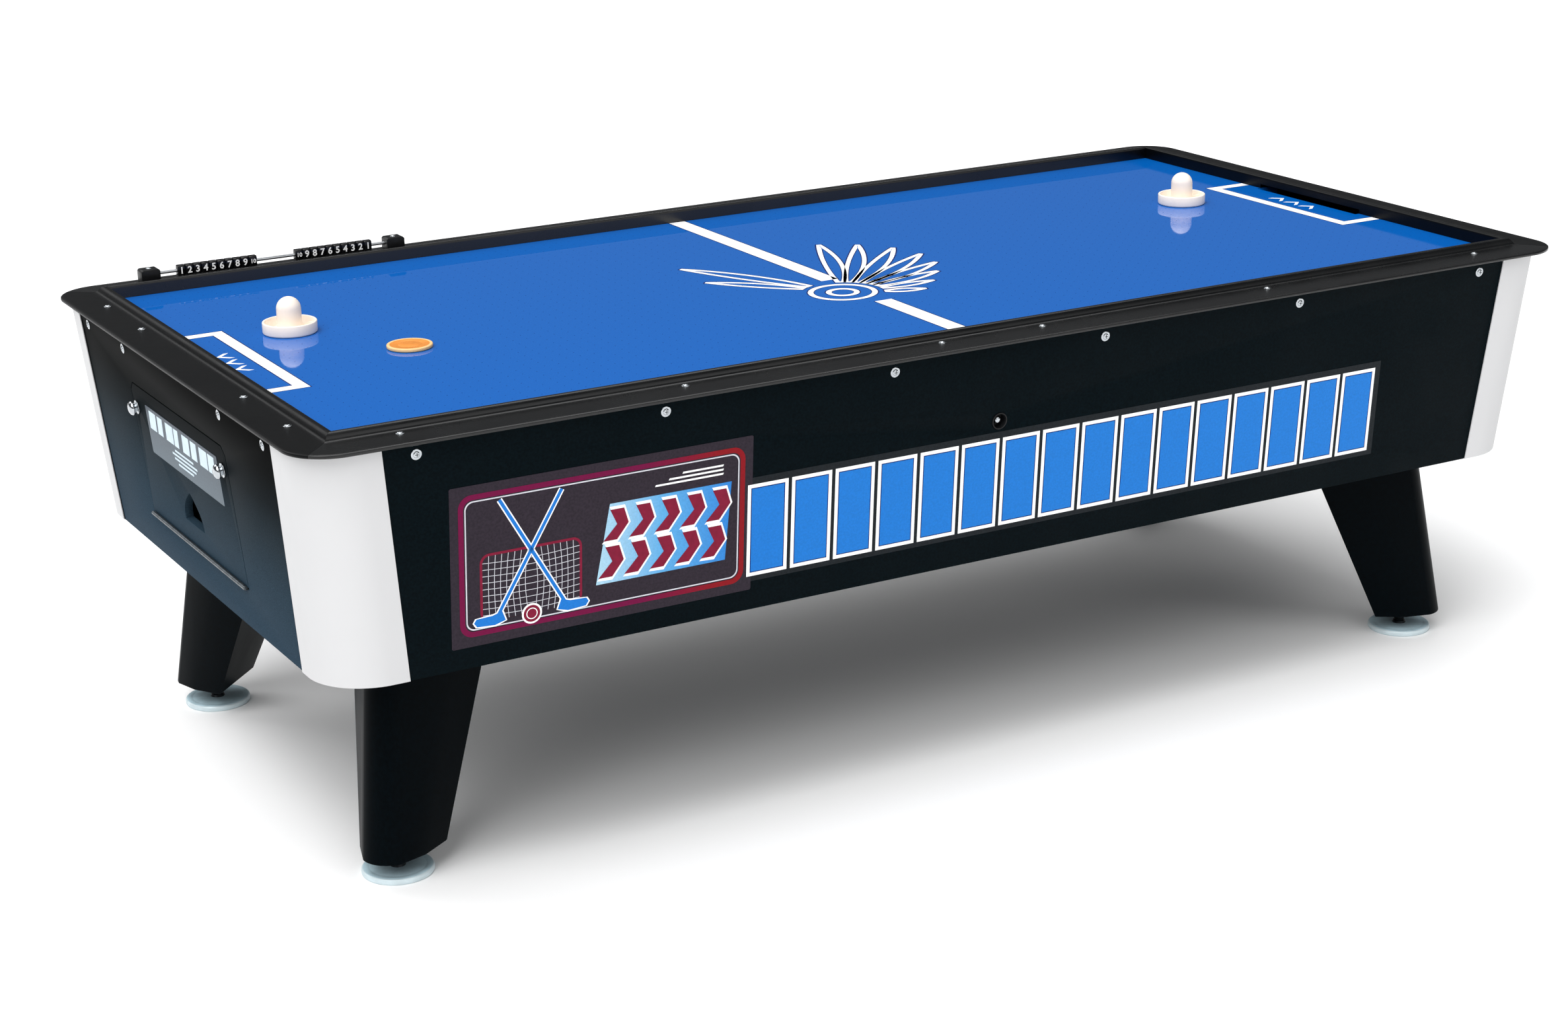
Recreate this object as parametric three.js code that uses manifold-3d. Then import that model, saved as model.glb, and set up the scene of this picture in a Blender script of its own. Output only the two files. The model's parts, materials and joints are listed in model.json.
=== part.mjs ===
// Air hockey table: sloping black cabinet on four tapered legs, blue air-cushion playfield inside
// moulded rails, drop-down service doors with a puck-return arch at both ends, an abacus scorer,
// two mallets and a puck. Millimetres, +X along the table, +Y towards the far side, +Z up.
// The origin is on the floor under the middle of the table.

import * as THREE from 'three';
import { mergeVertices } from 'three/addons/utils/BufferGeometryUtils.js';
import Module from 'manifold-3d';

const wasm = await Module();
wasm.setup();

// ---------------------------------------------------------------- driving dimensions
const GAP = 0.3;                       // clearance left between touching pieces

const FIELD = { halfX: 1141.5, halfY: 543.7, top: 752.5, thick: 16, boardHalfX: 1186, boardHalfY: 583 };
const FIELD_CORNER_R = 70;
const GOAL = { halfY: 152, slotTop: 760.8, notchX: 1132.5 };

const CABINET = { top: 752.4, bottom: 373.5, topX: 1215, topY: 606.5, bottomX: 1179.5, bottomY: 573.2, board: 19 };
const CORNER_R = 97;                   // plan radius of the cabinet's rounded corners
const POST = 101;                      // side of a corner post
const GUARD = { reach: 124, thick: 1.8, top: 752.4 };

const RAIL = { bottom: 752.8, bead: 776.6, deck: 764.6, nose: 84, base: 66, underside: 757.5, cornerR: 77 };

const LEG = { foot: 41, head: 373.1, noseR: 47, cornerFootX: 1107, cornerFootY: 500, cornerHeadX: 1065.8,
  cornerHeadY: 457.5, headScale: 1.6 };
const LEG_SIDE = [[95, 14], [143, 46]];    // lower section of one outer face, inward from the corner

const FOOT = { x: 1041.7, y: 433.9, radius: 58.6, thick: 8, stemR: 9.5, stemTop: 84 };
const FOOT_BORE = { radius: 10.3, top: 84.3 };

const FLOOR = { top: 389, halfX: 1156, halfY: 549, cornerR: 70 };
const CHAMBER = { halfX: 1060, halfY: 480, bottom: 676, wall: 12, floor: 9, inletR: 60 };
const BLOWER = { x: 300, y: 0 };
const GRILLE = { sizeX: 320, sizeY: 220, thick: 3, slots: 9 };

const DOOR = { hinge: 448, halfY: 237, height: 235.5, thick: 14, gap: 2, chamfer: 14 };
const ARCH = { halfY: 48, sill: 39, height: 58 };
const HINGE = { axisX: -3.6, axisZ: -1.2, radius: 3.2, pinR: 1.1, boreR: 1.5, knuckles: 17, halfY: 234 };
const LOCK = { y: 217, z: 194.6, knobR: 12.5, shaftR: 5, boreR: 5.3, camX: 19.9, camThick: 3, camReach: 34 };

const BUTTON = { x: 2, z: 620, holeR: 15, bezelR: 14.6, cupR: 12.4, cupDepth: 15, buttonR: 7, boreR: 7.3 };

const SCORER = { y: 589, z: 779, rodR: 3, boreR: 3.5, pitch: 15.1, beadX: 14.8, beadY: 14, beadZ: 20,
  leftStart: -1001.5, rightStart: -776, blockLeft: -1053.5, blockRight: -579.5, blockX: 35, blockY: 28,
  blockTop: 789.5 };
const BEADS_PER_GROUP = 10;

const MALLET = { radius: 46.5, rim: 20, wall: 4.5, base: 4, knobR: 21, height: 62 };
const MALLETS = { left: [-953, 140], right: [920, 125] };
const PUCK = { radius: 38.5, thick: 6.4, x: -822, y: -70 };

// ---------------------------------------------------------------- finishes
const finish = (color, roughness, metalness = 0) =>
  new THREE.MeshStandardMaterial({ color, roughness, metalness });
const PAINT = {
  field: finish(0x1b6cc8, 0.12),
  rail: finish(0x0b0c0e, 0.38),
  cabinet: finish(0x101517, 0.55),
  endBoard: finish(0x2a343c, 0.6),
  guard: finish(0xe3e3e3, 0.4, 0.3),
  leg: finish(0x0c1012, 0.5),
  foot: finish(0x9aa6ae, 0.35, 0.8),
  wood: finish(0x9b7a52, 0.8),
  steel: finish(0xb9bdc0, 0.3, 0.9),
  black: finish(0x161616, 0.5),
  chrome: finish(0xd8dbdd, 0.12, 1),
  bead: finish(0x141414, 0.15),
  ivory: finish(0xfbe6cd, 0.35),
  puck: finish(0xe9a55a, 0.4),
};

// ---------------------------------------------------------------- helpers
function toManifold(geometry) {
  const bare = geometry.clone();
  bare.deleteAttribute('normal');
  bare.deleteAttribute('uv');
  const merged = mergeVertices(bare, 1e-4);
  return new wasm.Manifold(new wasm.Mesh({
    numProp: 3,
    vertProperties: new Float32Array(merged.attributes.position.array),
    triVerts: new Uint32Array(merged.index.array),
  }));
}

function fromManifold(solid) {
  const mesh = solid.getMesh();
  const geometry = new THREE.BufferGeometry();
  geometry.setAttribute('position', new THREE.BufferAttribute(new Float32Array(mesh.vertProperties), 3));
  geometry.setIndex(new THREE.BufferAttribute(new Uint32Array(mesh.triVerts), 1));
  return geometry;
}

function join(...geometries) {
  const solids = geometries.map(toManifold);
  return fromManifold(solids.slice(1).reduce((sum, next) => sum.add(next), solids[0]));
}

function cut(geometry, ...tools) {
  const solid = tools.map(toManifold).reduce((left, tool) => left.subtract(tool), toManifold(geometry));
  return fromManifold(solid);
}

// Box between two opposite corners.
function box(low, high) {
  const size = high.map((value, i) => value - low[i]);
  const geometry = new THREE.BoxGeometry(...size);
  return geometry.translate(...low.map((value, i) => value + size[i] / 2));
}

// Cylinder along +Z from z0 to z1.
function rod(radius, z0, z1, sides = 20) {
  const geometry = new THREE.CylinderGeometry(radius, radius, z1 - z0, sides);
  return geometry.rotateX(Math.PI / 2).translate(0, 0, (z0 + z1) / 2);
}

// Solid of revolution about +Z from [radius, height] points.
function turned(points, sides = 32) {
  const profile = points.map(([r, z]) => new THREE.Vector2(r, z));
  const geometry = new THREE.LatheGeometry(profile, sides).rotateX(Math.PI / 2);
  return signedVolume(geometry) < 0 ? flipped(geometry) : geometry;
}

// Flat outline of [a, b] points extruded along +Z from z0 to z1.
function plate(points, z0, z1, holes = []) {
  const shape = new THREE.Shape(points.map(([a, b]) => new THREE.Vector2(a, b)));
  shape.holes = holes.map((hole) => new THREE.Path(hole.map(([a, b]) => new THREE.Vector2(a, b))));
  const geometry = new THREE.ExtrudeGeometry(shape, { depth: z1 - z0, bevelEnabled: false });
  return geometry.translate(0, 0, z0);
}

// Outline in the XZ plane extruded along +Y from y0 to y1.
function plateAlongY(points, y0, y1) {
  return plate(points, -y1, -y0).rotateX(Math.PI / 2);
}

// Outline in the YZ plane extruded along +X from x0 to x1.
function plateAlongX(points, x0, x1) {
  return plate(points, x0, x1).rotateX(Math.PI / 2).rotateZ(Math.PI / 2);
}

// Points of a circular arc in degrees, both ends included.
function arc(cx, cy, radius, from, to, steps) {
  return Array.from({ length: steps + 1 }, (_, i) => {
    const angle = THREE.MathUtils.degToRad(from + ((to - from) * i) / steps);
    return [cx + radius * Math.cos(angle), cy + radius * Math.sin(angle)];
  });
}

function roundedRectangle(halfX, halfY, radius, steps = 5) {
  const x = halfX - radius;
  const y = halfY - radius;
  return [
    ...arc(x, y, radius, 0, 90, steps),
    ...arc(-x, y, radius, 90, 180, steps),
    ...arc(-x, -y, radius, 180, 270, steps),
    ...arc(x, -y, radius, 270, 360, steps),
  ];
}

// Closed solid through equal rings of [x, y, z] points; the end rings are capped by the flat outline `cap`.
function loft(rings, cap) {
  const count = rings[0].length;
  const index = [];
  for (let r = 0; r + 1 < rings.length; r += 1) {
    for (let i = 0; i < count; i += 1) {
      const a = r * count + i;
      const b = r * count + ((i + 1) % count);
      index.push(a, b, b + count, a, b + count, a + count);
    }
  }
  const last = (rings.length - 1) * count;
  const outline = cap.map(([a, b]) => new THREE.Vector2(a, b));
  const faces = THREE.ShapeUtils.triangulateShape(outline, []);
  if (THREE.ShapeUtils.isClockWise(outline)) {
    faces.forEach((face) => face.reverse());
  }
  faces.forEach(([a, b, c]) => index.push(a, c, b, last + a, last + b, last + c));
  const geometry = new THREE.BufferGeometry();
  geometry.setAttribute('position', new THREE.Float32BufferAttribute(rings.flat(2), 3));
  geometry.setIndex(index);
  return signedVolume(geometry) < 0 ? flipped(geometry) : geometry;
}

function signedVolume(geometry) {
  const at = (i) => new THREE.Vector3().fromBufferAttribute(geometry.attributes.position, i);
  const { array } = geometry.index;
  let sum = 0;
  for (let i = 0; i < array.length; i += 3) {
    sum += at(array[i]).dot(at(array[i + 1]).cross(at(array[i + 2])));
  }
  return sum / 6;
}

function flipped(geometry) {
  const { array } = geometry.index;
  for (let i = 0; i < array.length; i += 3) {
    [array[i + 1], array[i + 2]] = [array[i + 2], array[i + 1]];
  }
  return geometry;
}

// Mirror a geometry through the planes x = 0 and y = 0 as the signs ask.
function mirrored(geometry, signX, signY) {
  const copy = (geometry.index ? geometry : mergeVertices(geometry)).clone().scale(signX, signY, 1);
  return signX * signY < 0 ? flipped(copy) : copy;
}

const table = new THREE.Group();

function add(name, geometry, material, parent = table) {
  const mesh = new THREE.Mesh(geometry, material);
  mesh.name = name;
  parent.add(mesh);
  return mesh;
}

// The four corners of the table, as names and signs.
const CORNERS = [
  { name: 'near_left', signX: -1, signY: -1 },
  { name: 'near_right', signX: 1, signY: -1 },
  { name: 'far_left', signX: -1, signY: 1 },
  { name: 'far_right', signX: 1, signY: 1 },
];

// ---------------------------------------------------------------- sloping cabinet
const lerp = THREE.MathUtils.lerp;
const rise = (z) => (z - CABINET.bottom) / (CABINET.top - CABINET.bottom);
const outerX = (z) => lerp(CABINET.bottomX, CABINET.topX, rise(z));
const outerY = (z) => lerp(CABINET.bottomY, CABINET.topY, rise(z));
const END_TILT = Math.atan((CABINET.topX - CABINET.bottomX) / (CABINET.top - CABINET.bottom));
const SIDE_TILT = Math.atan((CABINET.topY - CABINET.bottomY) / (CABINET.top - CABINET.bottom));

// Board between two heights whose plan at each height is an axis-aligned rectangle.
function slopingBoard(planAt, z0, z1) {
  const ring = (z) => {
    const [x0, y0, x1, y1] = planAt(z);
    return [[x0, y0, z], [x1, y0, z], [x1, y1, z], [x0, y1, z]];
  };
  return loft([ring(z0), ring(z1)], [[0, 0], [1, 0], [1, 1], [0, 1]]);
}

function sidePanel() {
  const planAt = (z) => {
    const x = outerX(z) - POST - GAP;
    return [-x, -outerY(z), x, -outerY(z) + CABINET.board / Math.cos(SIDE_TILT)];
  };
  return slopingBoard(planAt, CABINET.bottom, CABINET.top);
}

// Frame whose origin lies on the near panel's outer face at x, z; +Y points into the cabinet.
function onNearPanel(geometry, x, z) {
  return geometry.rotateX(SIDE_TILT).translate(x, -outerY(z), z);
}

// Frame of the left end: origin on the hinge line, +X into the cabinet, +Z up along the slope.
function onLeftEnd(geometry) {
  return geometry.rotateY(-END_TILT).translate(-outerX(DOOR.hinge), 0, DOOR.hinge);
}

function doorOutline(halfY, bottom, top, chamfer) {
  return [[-halfY, bottom], [halfY, bottom], [halfY, top - chamfer], [halfY - chamfer, top],
    [-halfY + chamfer, top], [-halfY, top - chamfer]];
}

function endPanel() {
  const planAt = (z) => {
    const y = outerY(z) - POST - GAP;
    return [-outerX(z), -y, -outerX(z) + CABINET.board / Math.cos(END_TILT), y];
  };
  const opening = doorOutline(DOOR.halfY + DOOR.gap, HINGE.axisZ - HINGE.radius, DOOR.height + DOOR.gap,
    DOOR.chamfer);
  const hole = onLeftEnd(plateAlongX(opening, -10, CABINET.board + 10));
  return cut(slopingBoard(planAt, CABINET.bottom, CABINET.top), hole);
}

// Plan of a rounded corner at the far right, walking from the end face round to the side face.
function cornerArc(z, offset) {
  const radius = CORNER_R + offset;
  return arc(outerX(z) - CORNER_R, outerY(z) - CORNER_R, radius, 0, 90, 8);
}

function cornerPost() {
  const ring = (z) => {
    const x = outerX(z);
    const y = outerY(z);
    const inner = [[x - POST, y], [x - POST, y - POST], [x, y - POST]];
    return [...cornerArc(z, 0), ...inner].map(([a, b]) => [a, b, z]);
  };
  const rings = [ring(FLOOR.top + GAP), ring(FIELD.top - FIELD.thick - GAP)];
  return loft(rings, rings[0]);
}

function cornerGuard() {
  const ring = (z) => {
    const face = (offset) => {
      const x = outerX(z);
      const y = outerY(z);
      return [[x + offset, y - GUARD.reach], ...cornerArc(z, offset), [x - GUARD.reach, y + offset]];
    };
    return [...face(GAP + GUARD.thick), ...face(GAP).reverse()].map(([a, b]) => [a, b, z]);
  };
  const rings = [ring(CABINET.bottom), ring(GUARD.top)];
  return loft(rings, rings[0]);
}

// ---------------------------------------------------------------- playfield and rails
function playfield() {
  const { boardHalfX: x, boardHalfY: y } = FIELD;
  const corner = (cx, cy, from) => arc(cx, cy, FIELD_CORNER_R, from, from + 90, 5);
  const cx = x - FIELD_CORNER_R;
  const cy = y - FIELD_CORNER_R;
  const notch = (sign) => [[sign * x, -sign * GOAL.halfY], [sign * GOAL.notchX, -sign * GOAL.halfY],
    [sign * GOAL.notchX, sign * GOAL.halfY], [sign * x, sign * GOAL.halfY]];
  const outline = [...notch(1), ...corner(cx, cy, 0), ...corner(-cx, cy, 90), ...notch(-1),
    ...corner(-cx, -cy, 180), ...corner(cx, -cy, 270)];
  return plate(outline, FIELD.top - FIELD.thick, FIELD.top);
}

// Rail section as [distance from the inner wall, height, plan radius of the corner at that point].
function railSection() {
  const { bottom, bead, deck, nose, base, underside, cornerR } = RAIL;
  return [
    [0, bottom, 0], [0, bead - 3, 0], [0.9, bead - 0.9, 0], [3, bead, 0],
    [8, bead, 0], [12, bead - 2, 0], [15, bead - 6, 0], [17, bead - 9.5, 0], [20, bead - 11.2, 0], [26, deck + 0.3, 0],
    [62, deck - 0.2, 50], [78, deck - 0.6, 70], [nose - 1, deck - 1.4, cornerR - 1], [nose, deck - 2.6, cornerR],
    [nose, underside + 1, cornerR], [nose - 1.5, underside, cornerR - 1.5], [base, underside, 58], [base, bottom, 58],
  ];
}

// Rail along the near side between 45 degree mitres; `halfLength` is half of the inner wall's length.
function mitredRail(halfLength, halfWidth) {
  const steps = 5;
  const straightFrom = 60;             // inner edges get their last stations this far from the corner
  const mitreGap = GAP / 2;
  const pointAt = (t, z, radius, fraction) => {
    const square = halfLength + t;
    const end = square - radius * (1 - Math.SQRT1_2) - mitreGap;
    const start = radius > 0 ? square - radius : end - straightFrom;
    const x = lerp(start, end, fraction);
    const along = Math.max(0, x - (square - radius));
    const drop = radius > 0 ? radius - Math.sqrt(Math.max(0, radius * radius - along * along)) : 0;
    return [x, -(halfWidth + t) + drop, z];
  };
  const section = railSection();
  const ring = (fraction, sign) => section.map(([t, z, radius]) => {
    const [x, y] = pointAt(t, z, radius, fraction);
    return [sign * x, y, z];
  });
  const fractions = Array.from({ length: steps + 1 }, (_, i) => i / steps);
  const rings = [
    ...[...fractions].reverse().map((fraction) => ring(fraction, -1)),
    ...fractions.map((fraction) => ring(fraction, 1)),
  ];
  return loft(rings, section);
}

// End rail with the goal slot cut under its bead.
function endRail() {
  const rail = mitredRail(FIELD.halfY, FIELD.halfX);
  const slot = box([-GOAL.halfY, -FIELD.halfX - 44, RAIL.bottom - 5], [GOAL.halfY, -FIELD.halfX + 5, GOAL.slotTop]);
  return cut(rail, slot);
}

// ---------------------------------------------------------------- legs and levelling feet
function leg() {
  const ring = (z) => {
    const f = (z - LEG.foot) / (LEG.head - LEG.foot);
    const x = lerp(LEG.cornerFootX, LEG.cornerHeadX, f);
    const y = lerp(LEG.cornerFootY, LEG.cornerHeadY, f);
    const scale = lerp(1, LEG.headScale, f);
    const sideX = LEG_SIDE.map(([u, w]) => [u * scale, w * scale]);
    const sideY = [...sideX].reverse().map(([u, w]) => [w, u]);
    const nose = arc(LEG.noseR, LEG.noseR, LEG.noseR, 180, 270, 8);
    return [...sideY, ...nose, ...sideX].map(([u, w]) => [x - u, y - w, z]);
  };
  const rings = [ring(LEG.foot), ring(LEG.head)];
  const bore = rod(FOOT_BORE.radius, LEG.foot - 10, FOOT_BORE.top, 20).translate(FOOT.x, FOOT.y, 0);
  return cut(loft(rings, rings[0]), bore);
}

function levellingFoot() {
  const { radius: r, thick: t, stemR, stemTop } = FOOT;
  const profile = [[0, 0], [r - 2.5, 0], [r, 2], [r, t - 3], [r - 3, t], [20, t + 1], [17, t + 6], [stemR, t + 7],
    [stemR, stemTop - 1.5], [stemR - 1.5, stemTop], [0, stemTop]];
  return turned(profile, 32);
}

// ---------------------------------------------------------------- inside the cabinet
function airChamber() {
  const { halfX: x, halfY: y, bottom, wall, floor, inletR } = CHAMBER;
  const top = FIELD.top - FIELD.thick - GAP;
  const hollow = box([-x + wall, -y + wall, bottom + floor], [x - wall, y - wall, top + 10]);
  const inlet = rod(inletR, bottom - 5, bottom + floor + 5, 28).translate(BLOWER.x, BLOWER.y, 0);
  return cut(box([-x, -y, bottom], [x, y, top]), hollow, inlet);
}

// Upright board that carries the middle of the playfield, with windows that let the air pass.
function chamberSpine() {
  const low = CHAMBER.bottom + CHAMBER.floor + GAP;
  const top = FIELD.top - FIELD.thick - GAP;
  const x = CHAMBER.halfX - CHAMBER.wall - 2;
  const windowAt = (cx, halfWidth, z1) => box([cx - halfWidth, -20, low - 5], [cx + halfWidth, 20, z1]);
  const windows = [-900, -600, -300, 0, 600, 900].map((cx) => windowAt(cx, 60, low + 28));
  const overInlet = windowAt(BLOWER.x, CHAMBER.inletR + 12, low + 28);
  return cut(box([-x, -8, low], [x, 8, top]), ...windows, overInlet);
}

function bottomPanel() {
  const outline = roundedRectangle(FLOOR.halfX, FLOOR.halfY, FLOOR.cornerR);
  const hx = GRILLE.sizeX / 2 - 14;
  const hy = GRILLE.sizeY / 2 - 14;
  const air = box([BLOWER.x - hx, -hy, 350], [BLOWER.x + hx, hy, 400]);
  const inlet = box([INLET.x - 24.5, INLET.y - 30.5, 350], [INLET.x + 24.5, INLET.y + 30.5, 400]);
  return cut(plate(outline, CABINET.bottom + GAP, FLOOR.top), air, inlet);
}

function intakeGrille() {
  const { sizeX, sizeY, thick, slots } = GRILLE;
  const z1 = CABINET.bottom;
  const pitch = (sizeX - 40) / slots;
  const slotBoxes = Array.from({ length: slots }, (_, i) => {
    const x = -sizeX / 2 + 20 + pitch * (i + 0.5);
    return box([x - pitch * 0.3, -sizeY / 2 + 22, z1 - 20], [x + pitch * 0.3, sizeY / 2 - 22, z1 + 20]);
  });
  const frame = box([-sizeX / 2, -sizeY / 2, z1 - thick], [sizeX / 2, sizeY / 2, z1]);
  return cut(frame, ...slotBoxes).translate(BLOWER.x, BLOWER.y, 0);
}

const INLET = { x: 760, y: 300 };      // mains inlet in the bottom panel
function powerInlet() {
  const bottom = CABINET.bottom;
  const flange = box([-30, -36, bottom - 2], [30, 36, bottom]);
  const body = box([-24, -30, bottom - 1], [24, 30, bottom + 24]);
  const socket = box([-13, -9, bottom - 5], [13, 9, bottom + 16]);
  const pins = [-7, 0, 7].map((x) => box([x - 1, -2.5, bottom + 2], [x + 1, 2.5, bottom + 17]));
  return join(cut(join(flange, body), socket), ...pins).translate(INLET.x, INLET.y, 0);
}

function blowerHousing() {
  const profile = [[58, 684], [58, 675.6], [130, 675.6], [130, 566], [72, 566], [72, 569], [127, 569],
    [127, 672.6], [55, 672.6], [55, 684], [58, 684]];
  return turned(profile, 36).translate(BLOWER.x, BLOWER.y, 0);
}

const IMPELLER = { radius: 98, hubR: 20, bladeInner: 62, low: 584, high: 656, blades: 12, boreR: 5.4 };
function impeller() {
  const { radius, hubR, bladeInner, low, high, blades, boreR } = IMPELLER;
  const back = rod(radius, high - 3, high, 36);
  const hub = rod(hubR, low + 8, high - 1, 20);
  const ring = cut(rod(radius, low, low + 3, 36), rod(bladeInner, low - 5, low + 8, 36));
  const bladeSet = Array.from({ length: blades }, (_, i) => {
    const blade = box([bladeInner, -1.2, low + 1], [radius - 1, 1.2, high - 1]);
    return blade.rotateZ((i * 2 * Math.PI) / blades);
  });
  const wheel = join(back, hub, ring, ...bladeSet);
  return cut(wheel, rod(boreR, low - 5, high - 12, 16)).translate(BLOWER.x, BLOWER.y, 0);
}

function blowerMotor() {
  const can = turned([[0, 470], [50, 470], [55, 475], [55, 555], [50, 560], [0, 560]], 28);
  const shaft = rod(5, 559, IMPELLER.high - 14, 16);
  const arms = [0, 1, 2].map((i) => {
    const arm = box([30, -9, 557], [118, 9, 565.7]);
    return arm.rotateZ((i * 2 * Math.PI) / 3);
  });
  return join(can, shaft, ...arms).translate(BLOWER.x, BLOWER.y, 0);
}

// Chute behind the left door: pucks drop from the goal notch and slide down to the return arch.
function goalChute() {
  const top = FIELD.top - FIELD.thick - GAP;
  const back = -GOAL.notchX;
  const cheek = 5;
  const outer = [[-1166, 478], [-1069, 478], [-1069, 512], [back + 6, top], [-1185, top]];
  const inner = [[-1200, 478.5], [-1075, 503], [-1075, 514], [back, top], [back, top + 9], [-1200, top + 9]];
  const body = plateAlongY(outer, -GOAL.halfY - 2 - cheek, GOAL.halfY + 2 + cheek);
  return cut(body, plateAlongY(inner, -GOAL.halfY - 2, GOAL.halfY + 2));
}

// ---------------------------------------------------------------- service door (left end frame)
// Flat-silled arch that narrows to a blunt point at the top.
function archOutline() {
  const steps = 9;
  const flank = Array.from({ length: steps }, (_, i) => {
    const f = i / steps;
    return [ARCH.halfY * Math.cos((Math.PI / 2) * f ** 1.25), ARCH.sill + ARCH.height * f];
  });
  const otherFlank = [...flank].reverse().map(([y, z]) => [-y, z]);
  return [...flank, [0, ARCH.sill + ARCH.height], ...otherFlank];
}

function doorPanel() {
  const outline = doorOutline(DOOR.halfY, 0, DOOR.height, DOOR.chamfer - 1);
  const board = plateAlongX(outline, 0, DOOR.thick);
  const arch = plateAlongX(archOutline(), -5, DOOR.thick + 5);
  const bores = [-1, 1].map((sign) => lockAxis(rod(LOCK.boreR, -5, DOOR.thick + 5, 16), sign));
  return onLeftEnd(cut(board, arch, ...bores));
}

// Turn a +Z solid so that it points along +X at a lock's place.
function lockAxis(geometry, sign) {
  return geometry.rotateY(Math.PI / 2).translate(0, sign * LOCK.y, LOCK.z);
}

// Thumb knob, shaft and cam bar in one piece; the cam hangs down when the lock is released.
function doorLock(sign) {
  const { knobR, shaftR, camX, camThick, camReach } = LOCK;
  const knob = turned([[0, -17], [6, -16.4], [10, -14.5], [knobR, -11.5], [knobR, -9], [8.5, -6.5], [7.5, -3.5],
    [knobR - 0.5, -2.8], [knobR - 0.5, -GAP], [0, -GAP]], 24);
  const shaft = rod(shaftR, -2, camX + camThick + 2, 16);
  const lever = lockAxis(join(knob, shaft), sign);
  const cam = box([camX, sign * LOCK.y - 7, LOCK.z - camReach], [camX + camThick, sign * LOCK.y + 7, LOCK.z + 7]);
  return onLeftEnd(join(lever, cam));
}

// One leaf of the piano hinge; the fixed leaf carries the pin, the door leaf has bored knuckles.
function hingeLeaf(fixed) {
  const { axisX, axisZ, radius, pinR, boreR, knuckles, halfY } = HINGE;
  const length = (2 * halfY) / knuckles;
  const z0 = fixed ? axisZ - radius + GAP : axisZ + 0.3;
  const leaf = box([axisX, -halfY, z0], [DOOR.thick - 1, halfY, z0 + 0.8]);
  const parts = [leaf];
  const pieceAt = (i, r, margin) => {
    const y0 = -halfY + i * length + margin;
    return rod(r, y0, y0 + length - 2 * margin, 12).rotateX(-Math.PI / 2).translate(axisX, 0, axisZ);
  };
  const own = (i) => (i % 2 === 0) === fixed;
  const rows = Array.from({ length: knuckles }, (_, i) => i);
  parts.push(...rows.filter(own).map((i) => pieceAt(i, radius, 0.25)));
  const clearances = rows.filter((i) => !own(i)).map((i) => pieceAt(i, radius + 0.6, -0.25));
  const shell = cut(join(...parts), ...clearances);
  const axle = (r) => rod(r, -halfY - 1, halfY + 1, 12).rotateX(Math.PI / 2).translate(axisX, 0, axisZ);
  return onLeftEnd(fixed ? join(shell, axle(pinR)) : cut(shell, axle(boreR)));
}

// ---------------------------------------------------------------- start button in the near panel
function buttonBezel() {
  const { bezelR, cupR, cupDepth, boreR } = BUTTON;
  const profile = [[bezelR, -1], [bezelR, cupDepth + 3], [boreR, cupDepth + 3], [boreR, cupDepth],
    [cupR, cupDepth], [cupR, -1], [bezelR, -1]];
  return onNearPanel(turned(profile, 28).rotateX(-Math.PI / 2), BUTTON.x, BUTTON.z);
}

function startButton() {
  const { buttonR, cupDepth } = BUTTON;
  const profile = [[0, 3], [4, 3.6], [6.2, 5.2], [buttonR, 8], [buttonR, cupDepth + 12], [0, cupDepth + 12]];
  return onNearPanel(turned(profile, 20).rotateX(-Math.PI / 2), BUTTON.x, BUTTON.z);
}

// ---------------------------------------------------------------- abacus scorer on the far rail
function alongX(geometry) {
  return geometry.rotateY(Math.PI / 2).translate(0, SCORER.y, SCORER.z);
}

function scorerBlock(cx) {
  const { blockX, blockY, blockTop, y, boreR } = SCORER;
  const hx = blockX / 2;
  const z0 = RAIL.deck + 0.9;
  const chamfer = 3;
  const outline = [[-hx, z0], [hx, z0], [hx, blockTop - chamfer], [hx - chamfer, blockTop],
    [-hx + chamfer, blockTop], [-hx, blockTop - chamfer]];
  const block = plateAlongY(outline, y - blockY / 2, y + blockY / 2).translate(cx, 0, 0);
  const inward = cx < (SCORER.blockLeft + SCORER.blockRight) / 2 ? 1 : -1;
  const mouth = cx + inward * hx;
  const bore = alongX(rod(boreR, Math.min(mouth + inward * 5, mouth - inward * 12),
    Math.max(mouth + inward * 5, mouth - inward * 12), 12));
  return cut(block, bore);
}

function scorerRod() {
  const reach = SCORER.blockX / 2 - 10;
  return alongX(rod(SCORER.rodR, SCORER.blockLeft + reach, SCORER.blockRight - reach, 12));
}

// `count` score tiles on the rod from x0, joined by a slim core when there is more than one.
function beadRow(x0, count) {
  const { pitch, beadX, beadY, beadZ, y, z, boreR } = SCORER;
  const hz = beadZ / 2;
  const hy = beadY / 2;
  const c = 3;
  const outline = [[y - hy, z - hz + c], [y - hy + c, z - hz], [y + hy - c, z - hz], [y + hy, z - hz + c],
    [y + hy, z + hz - c], [y + hy - c, z + hz], [y - hy + c, z + hz], [y - hy, z + hz - c]];
  const tiles = Array.from({ length: count }, (_, i) => plateAlongX(outline, x0 + i * pitch, x0 + i * pitch + beadX));
  const end = x0 + (count - 1) * pitch + beadX;
  const core = count > 1 ? [alongX(rod(6, x0 + 1, end - 1, 12))] : [];
  return cut(join(...tiles, ...core), alongX(rod(boreR, x0 - 5, end + 5, 12)));
}

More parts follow.
